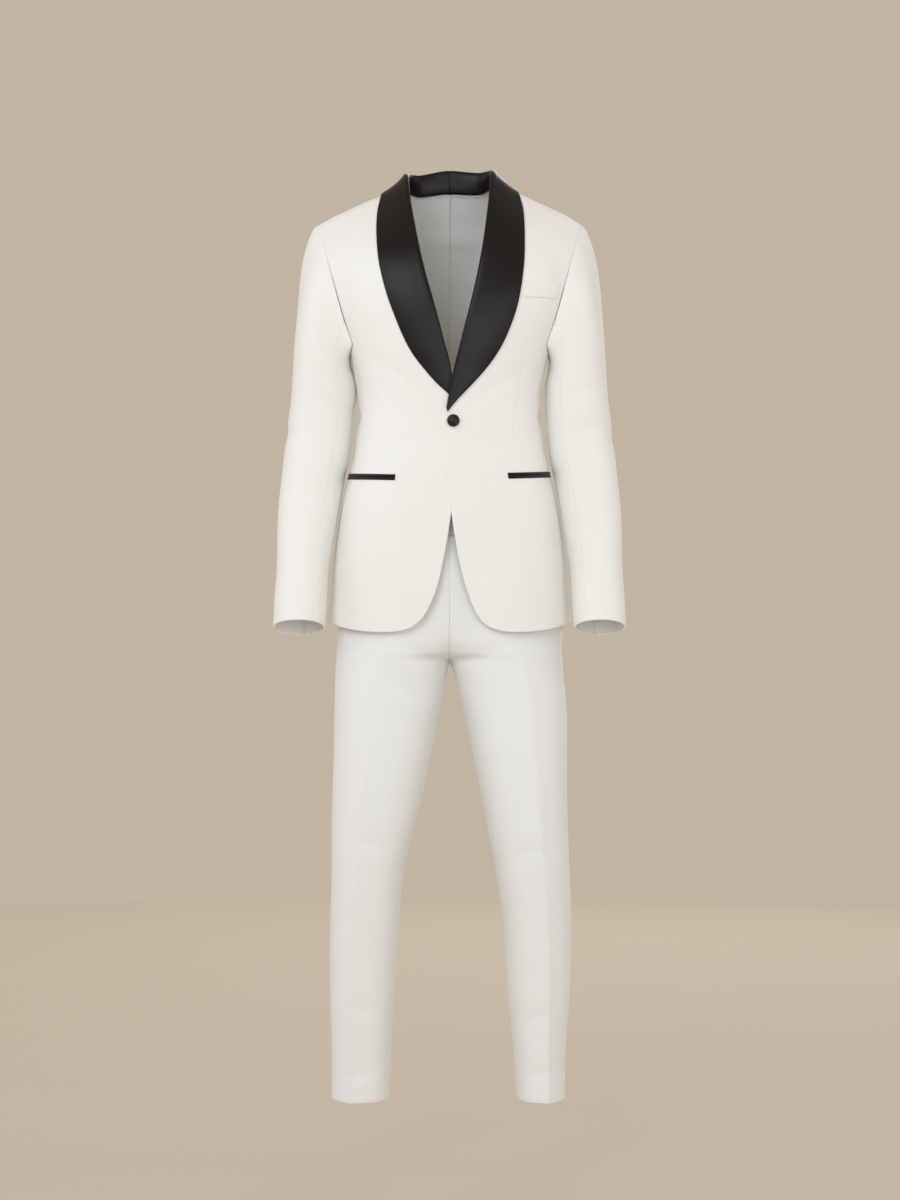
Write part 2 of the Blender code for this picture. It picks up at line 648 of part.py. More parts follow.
# The legs, a row per section from waist to hem. The sweep is the angle from the outer side to where the
# section ends: 90 at the centre seam, 180 where the leg closes on its own inseam.
LEG_COLUMNS = ("z", "outer", "inner", "sweep", "front", "back", "middle", "crease")
LEGS = {
    RIGHT: (
        (-0.512, 0.1560, 0.0002, 90, 0.100, 0.104, 0.004, 0.000),
        (-0.553, 0.1630, 0.0002, 90, 0.103, 0.109, 0.004, 0.000),
        (-0.605, 0.1740, 0.0002, 90, 0.104, 0.113, 0.004, 0.000),
        (-0.655, 0.1815, 0.0002, 90, 0.103, 0.114, 0.004, 0.000),
        (-0.690, 0.1840, 0.0002, 96, 0.101, 0.113, 0.004, 0.001),
        (-0.720, 0.1850, 0.0004, 110, 0.099, 0.110, 0.004, 0.002),
        (-0.742, 0.1855, 0.0007, 134, 0.097, 0.106, 0.003, 0.003),
        (-0.757, 0.1860, 0.0010, 180, 0.095, 0.102, 0.002, 0.003),
        (-0.787, 0.1870, 0.0074, 180, 0.093, 0.096, 0.000, 0.004),
        (-0.840, 0.1880, 0.0175, 180, 0.091, 0.090, -0.003, 0.004),
        (-0.920, 0.1895, 0.0330, 180, 0.088, 0.084, -0.006, 0.005),
        (-1.010, 0.1920, 0.0530, 180, 0.083, 0.078, -0.008, 0.005),
        (-1.100, 0.1925, 0.0755, 180, 0.077, 0.074, -0.008, 0.005),
        (-1.190, 0.1950, 0.0840, 180, 0.072, 0.073, -0.003, 0.005),
        (-1.290, 0.1955, 0.0900, 180, 0.068, 0.070, 0.004, 0.006),
        (-1.390, 0.1930, 0.0965, 180, 0.064, 0.066, 0.008, 0.006),
        (-1.472, 0.1930, 0.0985, 180, 0.063, 0.064, 0.008, 0.006),
    ),
    LEFT: (
        (-0.512, 0.1560, 0.0002, 90, 0.100, 0.104, 0.004, 0.000),
        (-0.553, 0.1630, 0.0002, 90, 0.103, 0.109, 0.004, 0.000),
        (-0.605, 0.1740, 0.0002, 90, 0.104, 0.113, 0.004, 0.000),
        (-0.655, 0.1815, 0.0002, 90, 0.103, 0.114, 0.004, 0.000),
        (-0.690, 0.1840, 0.0002, 96, 0.101, 0.113, 0.004, 0.001),
        (-0.720, 0.1850, 0.0004, 110, 0.099, 0.110, 0.004, 0.002),
        (-0.742, 0.1850, 0.0007, 134, 0.097, 0.106, 0.003, 0.003),
        (-0.757, 0.1850, 0.0010, 180, 0.095, 0.102, 0.002, 0.003),
        (-0.787, 0.1870, 0.0110, 180, 0.093, 0.096, 0.000, 0.004),
        (-0.840, 0.1915, 0.0240, 180, 0.091, 0.090, -0.003, 0.004),
        (-0.920, 0.1915, 0.0410, 180, 0.088, 0.084, -0.006, 0.005),
        (-1.010, 0.1925, 0.0590, 180, 0.083, 0.078, -0.008, 0.005),
        (-1.100, 0.1960, 0.0760, 180, 0.077, 0.074, -0.008, 0.005),
        (-1.190, 0.1985, 0.0880, 180, 0.072, 0.073, -0.003, 0.005),
        (-1.290, 0.1970, 0.0940, 180, 0.068, 0.070, 0.004, 0.006),
        (-1.390, 0.1900, 0.1045, 180, 0.064, 0.066, 0.008, 0.006),
        (-1.472, 0.1890, 0.1095, 180, 0.063, 0.064, 0.008, 0.006),
    ),
}
LEG_POWER = 2.15
CREASE_TURN = 74.0
CREASE_SPREAD = 13.0
WAIST_SEAM_ROW = 1.0
PANEL_ROWS = (1.0, 2.0, 3.0, 4.0, 5.0, 6.0, 7.0, 8.0, 9.0, 10.0, 11.0, 12.0, 13.0, 14.0, 16.0)
SEAM_TURN_GAP = 0.12


def leg_values(side, row):
    """The leg table's smooth values at a row; the sweep keeps to its own rows' range."""
    rows = np.arange(len(LEGS[side]), dtype=float)
    values = [float(smooth(row, rows, column(LEGS[side], LEG_COLUMNS, name))) for name in LEG_COLUMNS]
    sweep = column(LEGS[side], LEG_COLUMNS, "sweep")
    values[3] = float(np.interp(row, rows, sweep))
    return values


def leg_point(side, row, turn, out=0.0):
    """A point of the trousers: turn runs from the outseam, over the front if positive, to the sweep."""
    z, outer, inner, sweep, front, back, middle, crease = leg_values(side, row)
    end = float(power(math.cos(math.radians(sweep)), 2 / LEG_POWER))
    half = (outer - inner) / (1 - end)
    centre = outer - half
    c = math.cos(math.radians(turn))
    s = math.sin(math.radians(turn))
    depth = front if s > 0 else back
    ridge = crease * math.exp(-abs(abs(turn) - CREASE_TURN) / CREASE_SPREAD)
    x = centre + half * power(c, 2 / LEG_POWER)
    y = middle - (depth * abs(s) ** (2 / LEG_POWER) + ridge) * np.sign(s)
    if out:
        x += out * c
        y -= out * s
    return np.array([x, y, z])


def trouser_grid(side, front):
    """A trouser panel from the waist seam to the hem, between the outseam and centre seam or inseam."""
    sign = 1 if front else -1
    grid = []
    for row in PANEL_ROWS:
        sweep = leg_values(side, row)[3]
        crease = min(CREASE_TURN, sweep * 0.8)
        before = np.linspace(SEAM_TURN_GAP, crease, 4)
        after = np.linspace(crease, sweep - (SEAM_TURN_GAP if sweep > 179 else 0.0), 4)[1:]
        grid.append([leg_point(side, row, sign * turn) for turn in np.concatenate([before, after])])
    grid = np.array(grid)
    if not front:
        grid = grid[:, ::-1]
    return mirrored(grid, side)


def waistband_grid(side):
    """Half of the waistband, from the centre front round to the centre back."""
    grid = []
    for row in (0.0, WAIST_SEAM_ROW - 0.012):
        grid.append([leg_point(side, row, turn, 0.0004) for turn in np.linspace(89.9, -89.9, 15)])
    return mirrored(grid, side)


# ---------------------------------------------------------------- the whole suit

def clear_scene():
    for piece in list(bpy.data.objects):
        bpy.data.objects.remove(piece, do_unlink=True)


def build():
    clear_scene()
    collection = bpy.data.collections.new(OBJECT_NAME)
    bpy.context.scene.collection.children.link(collection)
    jacket = plain_material("jacket_wool", (0.86, 0.83, 0.76), 0.80)
    trousers = plain_material("trouser_wool", (0.84, 0.82, 0.78), 0.82)
    satin = plain_material("black_satin", (0.012, 0.011, 0.013), 0.30)
    for side, label in SIDE_NAMES.items():
        places = collar_places(side)
        add_sheet("front_" + label, front_grid(side), CLOTH_WALL, jacket)
        add_sheet("side_" + label, side_grid(side), CLOTH_WALL, jacket)
        add_sheet("back_" + label, back_grid(side), CLOTH_WALL, jacket)
        add_sheet("top_sleeve_" + label, sleeve_grid(side, top_sleeve_angles()), CLOTH_WALL, jacket)
        add_sheet("under_sleeve_" + label, sleeve_grid(side, under_sleeve_angles()), CLOTH_WALL, jacket)
        add_sheet("shawl_" + label, shawl_grid(side, places), FACING_WALL, satin)
        add_sheet("under_lapel_" + label, under_lapel_grid(side, places), FACING_WALL, jacket)
        add_sheet("jet_upper_" + label, jet_grid(side, True), JET_WALL, satin)
        add_sheet("jet_lower_" + label, jet_grid(side, False), JET_WALL, satin)
        add_sheet("trouser_front_" + label, trouser_grid(side, True), TROUSER_WALL, trousers)
        add_sheet("trouser_back_" + label, trouser_grid(side, False), TROUSER_WALL, trousers)
        add_sheet("waistband_" + label, waistband_grid(side), TROUSER_WALL, trousers)
    add_sheet("breast_welt", welt_grid(), FACING_WALL, jacket)
    add_button(satin)


build()
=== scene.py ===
"""Looks of the worn dinner suit: cloth, satin, seams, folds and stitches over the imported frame.

Metres, +Z up. The front faces -Y and the wearer's left is at +X. Every cloth piece is a fine grid on
the surface of its CAD node, with its own creases, turned seam edges and hems, and a thin wall.
"""
import math

import bpy
import numpy as np
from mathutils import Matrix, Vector
from mathutils.bvhtree import BVHTree


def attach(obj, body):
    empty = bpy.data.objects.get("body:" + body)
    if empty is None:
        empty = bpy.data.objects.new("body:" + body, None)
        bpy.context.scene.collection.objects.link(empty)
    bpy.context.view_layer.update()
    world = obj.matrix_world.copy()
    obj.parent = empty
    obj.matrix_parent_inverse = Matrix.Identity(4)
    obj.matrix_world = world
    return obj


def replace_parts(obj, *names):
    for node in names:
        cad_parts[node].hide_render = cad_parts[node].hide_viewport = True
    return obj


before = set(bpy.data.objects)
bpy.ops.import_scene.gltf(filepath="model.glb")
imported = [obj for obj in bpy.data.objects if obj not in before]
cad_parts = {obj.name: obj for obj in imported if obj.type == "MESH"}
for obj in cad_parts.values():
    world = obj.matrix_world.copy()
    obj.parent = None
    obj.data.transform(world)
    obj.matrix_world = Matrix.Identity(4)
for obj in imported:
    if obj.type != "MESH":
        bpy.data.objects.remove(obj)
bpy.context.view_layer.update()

LEFT, RIGHT = 1, -1
SIDE_NAMES = {LEFT: "left", RIGHT: "right"}

# Jacket body, a row per level from hem to shoulder ridge: depths run forward and back from middle.
BODY_COLUMNS = ("z", "half_width", "front", "back", "middle", "drop")
BODY = (
    (-0.707, 0.1995, 0.117, 0.124, 0.004, 0.000),
    (-0.651, 0.1935, 0.119, 0.127, 0.004, 0.000),
    (-0.600, 0.1900, 0.120, 0.128, 0.004, 0.000),
    (-0.545, 0.1830, 0.120, 0.123, 0.003, 0.000),
    (-0.494, 0.1740, 0.119, 0.113, 0.002, 0.000),
    (-0.445, 0.1620, 0.116, 0.102, 0.000, 0.000),
    (-0.390, 0.1510, 0.113, 0.096, 0.000, 0.000),
    (-0.336, 0.1460, 0.113, 0.098, 0.000, 0.000),
    (-0.290, 0.1520, 0.117, 0.108, 0.000, 0.000),
    (-0.245, 0.1650, 0.123, 0.118, 0.000, 0.000),
    (-0.190, 0.1880, 0.127, 0.126, 0.001, 0.004),
    (-0.137, 0.2040, 0.123, 0.128, 0.002, 0.014),
    (-0.084, 0.2150, 0.109, 0.119, 0.004, 0.036),
    (-0.032, 0.2230, 0.082, 0.096, 0.007, 0.062),
    (0.010, 0.2270, 0.052, 0.066, 0.010, 0.084),
    (0.0385, 0.2280, 0.026, 0.035, 0.012, 0.097),
    (0.0465, 0.2280, 0.000, 0.000, 0.012, 0.100),
)
RIDGE = len(BODY) - 1
SECTION_POWER = 2.4
DROP_ROUNDING = 0.030
# The hem climbs to the sides by this much, up to a height, over a depth, between two turns off centre.
HEM_SIDE_RISE, HEM_RISE_TOP, HEM_RISE_DEPTH, HEM_RISE_TURNS = 0.014, -0.58, 0.12, (30, 85)
# How far past the centre line each front reaches at a height, and the lapping of left over right.
EDGE_COLUMNS = ("z", "left_x", "right_x")
FRONT_EDGE = (
    (-0.7070, 0.0980, 0.0960),
    (-0.7040, 0.0780, 0.0740),
    (-0.6950, 0.0575, 0.0545),
    (-0.6740, 0.0415, 0.0365),
    (-0.6345, 0.0265, 0.0200),
    (-0.5935, 0.0160, 0.0105),
    (-0.5535, 0.0088, 0.0030),
    (-0.5135, 0.0030, -0.0030),
    (-0.4780, -0.0015, -0.0098),
    (-0.4380, -0.0073, -0.0148),
    (-0.4010, -0.0100, -0.0166),
    (-0.3730, -0.0095, -0.0166),
    (-0.3490, -0.0044, -0.0146),
    (-0.3260, 0.0000, -0.0120),
    (-0.3040, 0.0048, -0.0070),
    (-0.2810, 0.0092, -0.0012),
    (-0.2400, 0.0200, 0.0108),
    (-0.1870, 0.0340, 0.0248),
    (-0.1310, 0.0470, 0.0408),
    (-0.0790, 0.0568, 0.0527),
    (-0.0350, 0.0630, 0.0613),
    (-0.0045, 0.0665, 0.0660),
    (0.0500, 0.0690, 0.0690),
)
NECK_INSET, NECK_FADE = 0.0030, (-0.04, 0.02)
LAPEL_INSET, LAPEL_FOOT, LAPEL_START = 0.0030, -0.359, -0.345
LAP_COLUMNS = ("z", "lift")
LAP = ((-0.620, 0.0), (-0.563, 0.0014), (-0.513, 0.0024), (-0.308, 0.0028), (-0.250, 0.0020),
       (-0.182, 0.0))
LAP_FULL, LAP_NONE = 0.022, 0.090
# The uneven shoulders: how far each is lifted, and where to the side and up the lift comes in.
SHOULDER_LIFT = {LEFT: (0.0060, 0.000, 0.075), RIGHT: (0.0032, 0.080, 0.140)}
SHOULDER_END = (0.185, 0.234)
SHOULDER_FADE = (-0.140, -0.030)
# Armhole edges, from the underarm corner (0) to the shoulder ridge (1), as turns from the side line.
ARMHOLE_COLUMNS = ("rise", "front_turn", "back_turn")
ARMHOLE = ((0.00, 22.0, 22.0), (0.15, 25.0, 25.5), (0.40, 27.0, 27.5), (0.70, 24.0, 24.5),
           (0.88, 19.0, 19.5), (1.00, 13.8, 13.8))
SIDE_SEAM_TURN = 22.0
UNDERARM_LEVEL = 9.1
UNDERARM_DIP = 0.30
RIDGE_GAP = 0.001
NECK_CLEARANCE = 0.0070
NECK_LEVEL_CLEARANCE = 0.22
# Sleeves, a row per section from cuff to underarm.
SLEEVE_COLUMNS = ("z", "outer", "inner", "half_depth", "middle", "lean", "tilt")
SLEEVE = (
    (-0.700, 0.2845, 0.2020, 0.0460, -0.070, 0.28, 0.00),
    (-0.651, 0.2830, 0.1990, 0.0465, -0.057, 0.28, 0.00),
    (-0.612, 0.2805, 0.1975, 0.0470, -0.046, 0.28, 0.00),
    (-0.572, 0.2800, 0.1920, 0.0480, -0.035, 0.28, 0.00),
    (-0.533, 0.2800, 0.1850, 0.0490, -0.024, 0.26, 0.00),
    (-0.494, 0.2780, 0.1785, 0.0505, -0.014, 0.22, 0.00),
    (-0.454, 0.2740, 0.1715, 0.0530, -0.006, 0.16, 0.01),
    (-0.415, 0.2700, 0.1640, 0.0560, 0.002, 0.10, 0.03),
    (-0.376, 0.2650, 0.1600, 0.0600, 0.008, 0.04, 0.06),
    (-0.336, 0.2600, 0.1580, 0.0625, 0.009, 0.00, 0.10),
    (-0.297, 0.2570, 0.1590, 0.0640, 0.008, 0.00, 0.16),
    (-0.272, 0.2555, 0.1640, 0.0650, 0.006, 0.00, 0.22),
)
SLEEVE_POWER = 2.1
CAP_CLEARANCE = 0.0001
UNDERARM_CLEARANCE = 0.0010
FRONT_SLEEVE_SEAM, BACK_SLEEVE_SEAM = 124.0, 262.0
# Lapels: the roll line's height, the outer edge's place, the satin's wrap to the inside, the stand.
LAPEL_COLUMNS = ("roll_z", "edge_x", "edge_z", "wrap", "stand")
LAPELS = {
    LEFT: (
        (-0.3490, -0.0030, -0.3545, 0.0, 0.000),
        (-0.3260, 0.0127, -0.3345, 0.0, 0.000),
        (-0.3040, 0.0371, -0.3080, 0.0, 0.000),
        (-0.2810, 0.0641, -0.2760, 0.3, 0.000),
        (-0.2400, 0.0905, -0.2310, 1.0, 0.000),
        (-0.1870, 0.1083, -0.1805, 1.0, 0.001),
        (-0.1310, 0.1180, -0.1225, 1.0, 0.002),
        (-0.0790, 0.1202, -0.0710, 1.0, 0.004),
        (-0.0350, 0.1187, -0.0300, 1.0, 0.008),
        (-0.0045, 0.1138, -0.0060, 1.0, 0.013),
    ),
    RIGHT: (
        (-0.2830, 0.0030, -0.3240, 0.3, 0.000),
        (-0.2670, 0.0248, -0.3033, 1.0, 0.000),
        (-0.2400, 0.0545, -0.2666, 1.0, 0.000),
        (-0.2070, 0.0793, -0.2192, 1.0, 0.000),
        (-0.1720, 0.0987, -0.1680, 1.0, 0.001),
        (-0.1310, 0.1116, -0.1178, 1.0, 0.002),
        (-0.0790, 0.1167, -0.0710, 1.0, 0.004),
        (-0.0350, 0.1162, -0.0317, 1.0, 0.008),
        (-0.0045, 0.1118, -0.0050, 1.0, 0.013),
    ),
}
# Collar: a path counts levels up the front, over the ridge and down the back.
COLLAR_COLUMNS = ("roll_x", "roll_path", "edge_x", "edge_path", "stand")
COLLAR = (
    (0.0690, 16.00, 0.1040, 16.55, 0.018),
    (0.0655, 16.75, 0.0930, 17.35, 0.022),
    (0.0510, 17.30, 0.0680, 17.90, 0.026),
    (0.0280, 17.50, 0.0360, 18.15, 0.028),
    (0.0, 17.55, 0.0, 18.25, 0.029),
)
HIP_POCKET_TURNS = {LEFT: (59.5, 2.0), RIGHT: (62.5, 2.0)}
HIP_POCKET_Z = {LEFT: (-0.4565, -0.4510), RIGHT: (-0.4590, -0.4545)}
WELT_TURNS = (57.0, 33.0)
WELT_TOP, WELT_HEIGHT = -0.1438, 0.0256
BUTTON_PLACE = (0.0061, -0.3685)
# Legs: the sweep is the angle from the outer side to where the section ends.
LEG_COLUMNS = ("z", "sweep", "front", "back", "middle", "crease",
               "outer_left", "inner_left", "outer_right", "inner_right")
LEGS = (
    (-0.512, 90, 0.100, 0.104, 0.004, 0.000, 0.1560, 0.0, 0.1560, 0.0),
    (-0.553, 90, 0.103, 0.109, 0.004, 0.000, 0.1630, 0.0, 0.1630, 0.0),
    (-0.605, 90, 0.104, 0.113, 0.004, 0.000, 0.1740, 0.0, 0.1740, 0.0),
    (-0.655, 90, 0.103, 0.114, 0.004, 0.000, 0.1815, 0.0, 0.1815, 0.0),
    (-0.690, 96, 0.101, 0.113, 0.004, 0.001, 0.1840, 0.0, 0.1840, 0.0),
    (-0.720, 110, 0.099, 0.110, 0.004, 0.002, 0.1850, 0.0001, 0.1850, 0.0001),
    (-0.742, 134, 0.097, 0.106, 0.003, 0.003, 0.1850, 0.0003, 0.1855, 0.0003),
    (-0.757, 180, 0.095, 0.102, 0.002, 0.003, 0.1850, 0.0008, 0.1860, 0.0008),
    (-0.787, 180, 0.093, 0.096, 0.000, 0.004, 0.1870, 0.0110, 0.1870, 0.0074),
    (-0.840, 180, 0.091, 0.090, -0.003, 0.004, 0.1915, 0.0240, 0.1880, 0.0175),
    (-0.920, 180, 0.088, 0.084, -0.006, 0.005, 0.1915, 0.0410, 0.1895, 0.0330),
    (-1.010, 180, 0.083, 0.078, -0.008, 0.005, 0.1925, 0.0590, 0.1920, 0.0530),
    (-1.100, 180, 0.077, 0.074, -0.008, 0.005, 0.1960, 0.0760, 0.1925, 0.0755),
    (-1.190, 180, 0.072, 0.073, -0.003, 0.005, 0.1985, 0.0880, 0.1950, 0.0840),
    (-1.290, 180, 0.068, 0.070, 0.004, 0.006, 0.1970, 0.0940, 0.1955, 0.0900),
    (-1.390, 180, 0.064, 0.066, 0.008, 0.006, 0.1900, 0.1045, 0.1930, 0.0965),
    (-1.472, 180, 0.063, 0.064, 0.008, 0.006, 0.1890, 0.1095, 0.1930, 0.0985),
)
LEG_POWER = 2.15
CREASE_TURN = 74.0
CREASE_SPREAD = 13.0
SLEEVE_TOP = -0.272

def column(table, columns, name):
    """One named column of a table as an array."""
    return np.array([row[columns.index(name)] for row in table], dtype=float)


def smooth(x, xs, ys):
    """A smooth curve through (xs, ys), with xs rising, read at x."""
    x = np.clip(np.asarray(x, dtype=float), xs[0], xs[-1])
    slopes = np.gradient(ys, xs)
    i = np.clip(np.searchsorted(xs, x, side="right") - 1, 0, len(xs) - 2)
    step = xs[i + 1] - xs[i]
    t = (x - xs[i]) / step
    rest = 1 - t
    return ((1 + 2 * t) * rest ** 2 * ys[i] + t * rest ** 2 * step * slopes[i]
            + t ** 2 * (3 - 2 * t) * ys[i + 1] - t ** 2 * rest * step * slopes[i + 1])


def read(table, columns, name, x):
    """The smooth value of a named column at x in the table's first column."""
    return smooth(x, column(table, columns, columns[0]), column(table, columns, name))


def by_row(table, columns, row, names):
    """The smooth values of named columns at a place counted in the table's rows."""
    rows = np.arange(len(table), dtype=float)
    return [smooth(row, rows, column(table, columns, name)) for name in names]


def ease(x, start, end):
    """0 before start, 1 after end, smooth between."""
    t = np.clip((np.asarray(x, dtype=float) - start) / (end - start), 0, 1)
    return t * t * (3 - 2 * t)


def lengths_along(points):
    """How far along a line each of its points lies."""
    return np.concatenate([[0], np.cumsum(np.linalg.norm(np.diff(points, axis=0), axis=1))])


def along(marks, lengths, points):
    """Places on a line of points at the given marks along it."""
    return np.stack([np.interp(marks, lengths, values) for values in points.T], axis=-1)


def section(turn, exponent):
    """Across and along a rounded section at a turn in degrees, each from -1 to 1."""
    turn = np.radians(turn)
    return power(np.cos(turn), 2 / exponent), power(np.sin(turn), 2 / exponent)


def power(values, exponent):
    """A power that keeps the sign."""
    return np.sign(values) * np.abs(values) ** exponent


def unit(vectors):
    """Vectors at length one."""
    return vectors / np.maximum(np.linalg.norm(vectors, axis=-1, keepdims=True), 1e-12)


# ---- jacket body surface

def body_values(level):
    """The body table's columns at a level."""
    return by_row(BODY, BODY_COLUMNS, level, BODY_COLUMNS)


def body_surface(level, turn):
    """A point of the body: turn is in degrees, 90 at the centre front, 0 at the side, -90 behind."""
    level, turn = np.broadcast_arrays(np.asarray(level, float), np.asarray(turn, float))
    z, width, front, back, middle, drop = body_values(level)
    across, ahead = section(turn, SECTION_POWER)
    x = width * across
    y = middle - np.where(ahead > 0, front, back) * ahead
    sideways = np.sqrt(x ** 2 + DROP_ROUNDING ** 2) - DROP_ROUNDING
    z = z - drop * sideways / (width - DROP_ROUNDING / 2)
    low = np.clip((HEM_RISE_TOP - z) / HEM_RISE_DEPTH, 0, 1)
    z = z + HEM_SIDE_RISE * ease(90 - np.abs(turn), *HEM_RISE_TURNS) * low
    return np.stack([x, y, z], axis=-1)


LEVEL_NUDGE, TURN_NUDGE = 0.05, 1.0       # how far either way a normal is measured


def body_point(level, turn, out=0.0):
    """A point of the body moved out along its normal."""
    point = body_surface(level, turn)
    out = np.asarray(out, float)
    if not np.any(out):
        return point
    level, turn = np.asarray(level, float), np.asarray(turn, float)
    above = body_surface(np.minimum(level + LEVEL_NUDGE, RIDGE), turn)
    up = above - body_surface(level - LEVEL_NUDGE, turn)
    around = body_surface(level, turn - TURN_NUDGE) - body_surface(level, turn + TURN_NUDGE)
    return point + unit(np.cross(around, up)) * out[..., None]


def level_at_height(z, turn):
    """The level whose point at this turn has height z."""
    levels = np.linspace(0, RIDGE, LEVEL_SAMPLES)
    return float(np.interp(z, body_surface(levels, turn)[:, 2], levels))


def turn_at_x(level, x):
    """The turn where the level's surface stands x to the side."""
    ratio = np.clip(np.asarray(x, float) / body_values(level)[1], -1, 1)
    return np.degrees(np.arccos(power(ratio, SECTION_POWER / 2)))


EDGE_STEPS, EDGE_PASSES = 40, 6
PATH_FOOT, PATH_SAMPLES, LEVEL_SAMPLES = 3, 400, 600
ARMHOLE_SAMPLES, UNDERARM_SAMPLES = 120, 40


def fine_edge(name):
    """A front's closing edge and roll line as a close-set smooth curve: heights and places."""
    marks = np.arange(len(FRONT_EDGE), dtype=float)
    places = np.linspace(0, marks[-1], (len(marks) - 1) * EDGE_STEPS + 1)
    return [smooth(places, marks, column(FRONT_EDGE, EDGE_COLUMNS, label)) for label in ("z", name)]


FINE_EDGES = {LEFT: fine_edge("left_x"), RIGHT: fine_edge("right_x")}


def edge_at(side, z):
    """How far to its own side a front's edge or roll line lies at a height."""
    return np.interp(z, *FINE_EDGES[side])


def front_edge_turn(level, side):
    """Where a front ends towards the centre: its closing edge, then just inside the roll line."""
    z = body_values(level)[0]
    for _ in range(EDGE_PASSES):
        x = edge_at(side, z) + LAPEL_INSET * ease(z, LAPEL_FOOT, LAPEL_START)
        x = x + NECK_INSET * ease(z, *NECK_FADE)
        turn = turn_at_x(level, x)
        z = body_surface(level, turn)[..., 2]
    return turn


def armhole_turn(level, name):
    """The turn of the armhole edge at a level, or of the side seam under it."""
    rise = (np.asarray(level, float) - UNDERARM_LEVEL) / (RIDGE - UNDERARM_LEVEL)
    turn = read(ARMHOLE, ARMHOLE_COLUMNS, name, np.maximum(rise, 0))
    return np.where(rise <= 0, SIDE_SEAM_TURN, turn)


def lap_lift(point):
    """How far the left front stands off the right one near the closing edge."""
    near = 1 - ease(point[..., 0], LAP_FULL, LAP_NONE)
    heights = column(LAP, LAP_COLUMNS, "z")
    return near * np.interp(point[..., 2], heights, column(LAP, LAP_COLUMNS, "lift"))


def path_surface(path, x, out=0.0):
    """A point of the body x to the side, at a path over the shoulder from front to back."""
    path, x = np.broadcast_arrays(np.asarray(path, float), np.asarray(x, float))
    behind = path > RIDGE
    level = np.where(behind, 2 * RIDGE - path, path)
    turn = turn_at_x(level, x)
    return body_point(level, np.where(behind, -turn, turn), out)


def path_at_height(x, z):
    """The path on the front where the body x to the side has height z."""
    levels = np.linspace(PATH_FOOT, RIDGE, PATH_SAMPLES)
    heights = body_surface(levels, turn_at_x(levels, np.full(PATH_SAMPLES, x)))[:, 2]
    return float(np.interp(z, heights, levels))


def with_lap(side, path, x, out):
    """A path point, with the left lapel lifted over the right front."""
    lift = lap_lift(path_surface(path, x)) if side == LEFT else 0.0
    return path_surface(path, x, out + lift)


# ---- sleeve and leg surfaces

def armhole_half(name, sign):
    """The armhole from the shoulder to the underarm, down the front or the back, and its lengths."""
    levels = np.linspace(RIDGE, UNDERARM_LEVEL, ARMHOLE_SAMPLES)
    turns = np.linspace(sign * SIDE_SEAM_TURN, 0, UNDERARM_SAMPLES)[1:]
    under = UNDERARM_LEVEL - UNDERARM_DIP * (1 - (turns / SIDE_SEAM_TURN) ** 2)
    points = np.concatenate([body_surface(levels, sign * armhole_turn(levels, name)),
                             body_surface(under, turns)])
    lengths = lengths_along(points)
    return points, lengths / lengths[-1]


ARMHOLE_HALVES = (armhole_half("front_turn", 1), armhole_half("back_turn", -1))


def armhole_point(angle):
    """The armhole for sleeve angles: 0 at the shoulder, 90 front, 180 underarm, 270 behind."""
    angle = np.asarray(angle, float) % 360
    (front, front_share), (back, back_share) = ARMHOLE_HALVES
    share = np.where(angle <= 180, angle / 180, (360 - angle) / 180)
    return np.where((angle <= 180)[..., None], along(share, front_share, front),
                    along(share, back_share, back))


def sleeve_ring(z, angle):
    """A point of the arm's sections: 0 outer, 90 front, 180 inner, 270 behind."""
    z, angle = np.broadcast_arrays(np.asarray(z, float), np.asarray(angle, float))
    c, s = section(angle, SLEEVE_POWER)
    outer, inner, depth, middle, lean, tilt = [
        read(SLEEVE, SLEEVE_COLUMNS, name, z) for name in SLEEVE_COLUMNS[1:]]
    half = (outer - inner) / 2
    return np.stack([(outer + inner) / 2 + half * c, middle - depth * s,
                     z + lean * depth * s + tilt * half * c], axis=-1)


CAP_LOOK_DOWN = 0.043                    # how far below the cap the sleeve's own direction is read
CAP_LEAVE_OUT, CAP_LEAVE_ASIDE, CAP_LEAVE_DOWN, CAP_LEAVE_TURN = 0.5, 0.30, 0.87, 0.3
CAP_UNDER, CAP_HANDLES = (0.2, 0.9), (0.22, 0.45)


def sleeve_cap(share, angle):
    """A point between the armhole and the first arm section."""
    start = armhole_point(angle)
    end = sleeve_ring(SLEEVE_TOP, angle)
    lower = sleeve_ring(SLEEVE_TOP - CAP_LOOK_DOWN, angle)
    s = np.sin(np.radians(angle))
    leave = unit(np.stack([CAP_LEAVE_OUT + CAP_LEAVE_TURN * s * s, -CAP_LEAVE_ASIDE * s,
                           -CAP_LEAVE_DOWN + CAP_LEAVE_TURN * s * s], axis=-1))
    arrive = unit(end - lower)
    under = ease(-np.cos(np.radians(angle)), *CAP_UNDER)
    start = start + leave * (CAP_CLEARANCE * (1 - under))[..., None]
    start[..., 0] += UNDERARM_CLEARANCE * under
    reach = np.linalg.norm(end - start, axis=-1, keepdims=True)
    b1, b2 = start + leave * reach * CAP_HANDLES[0], end + arrive * reach * CAP_HANDLES[1]
    t = np.asarray(share, float)[..., None]
    r = 1 - t
    return r ** 3 * start + 3 * r * r * t * b1 + 3 * r * t * t * b2 + t ** 3 * end


CREASE_SHARPNESS = 1.7


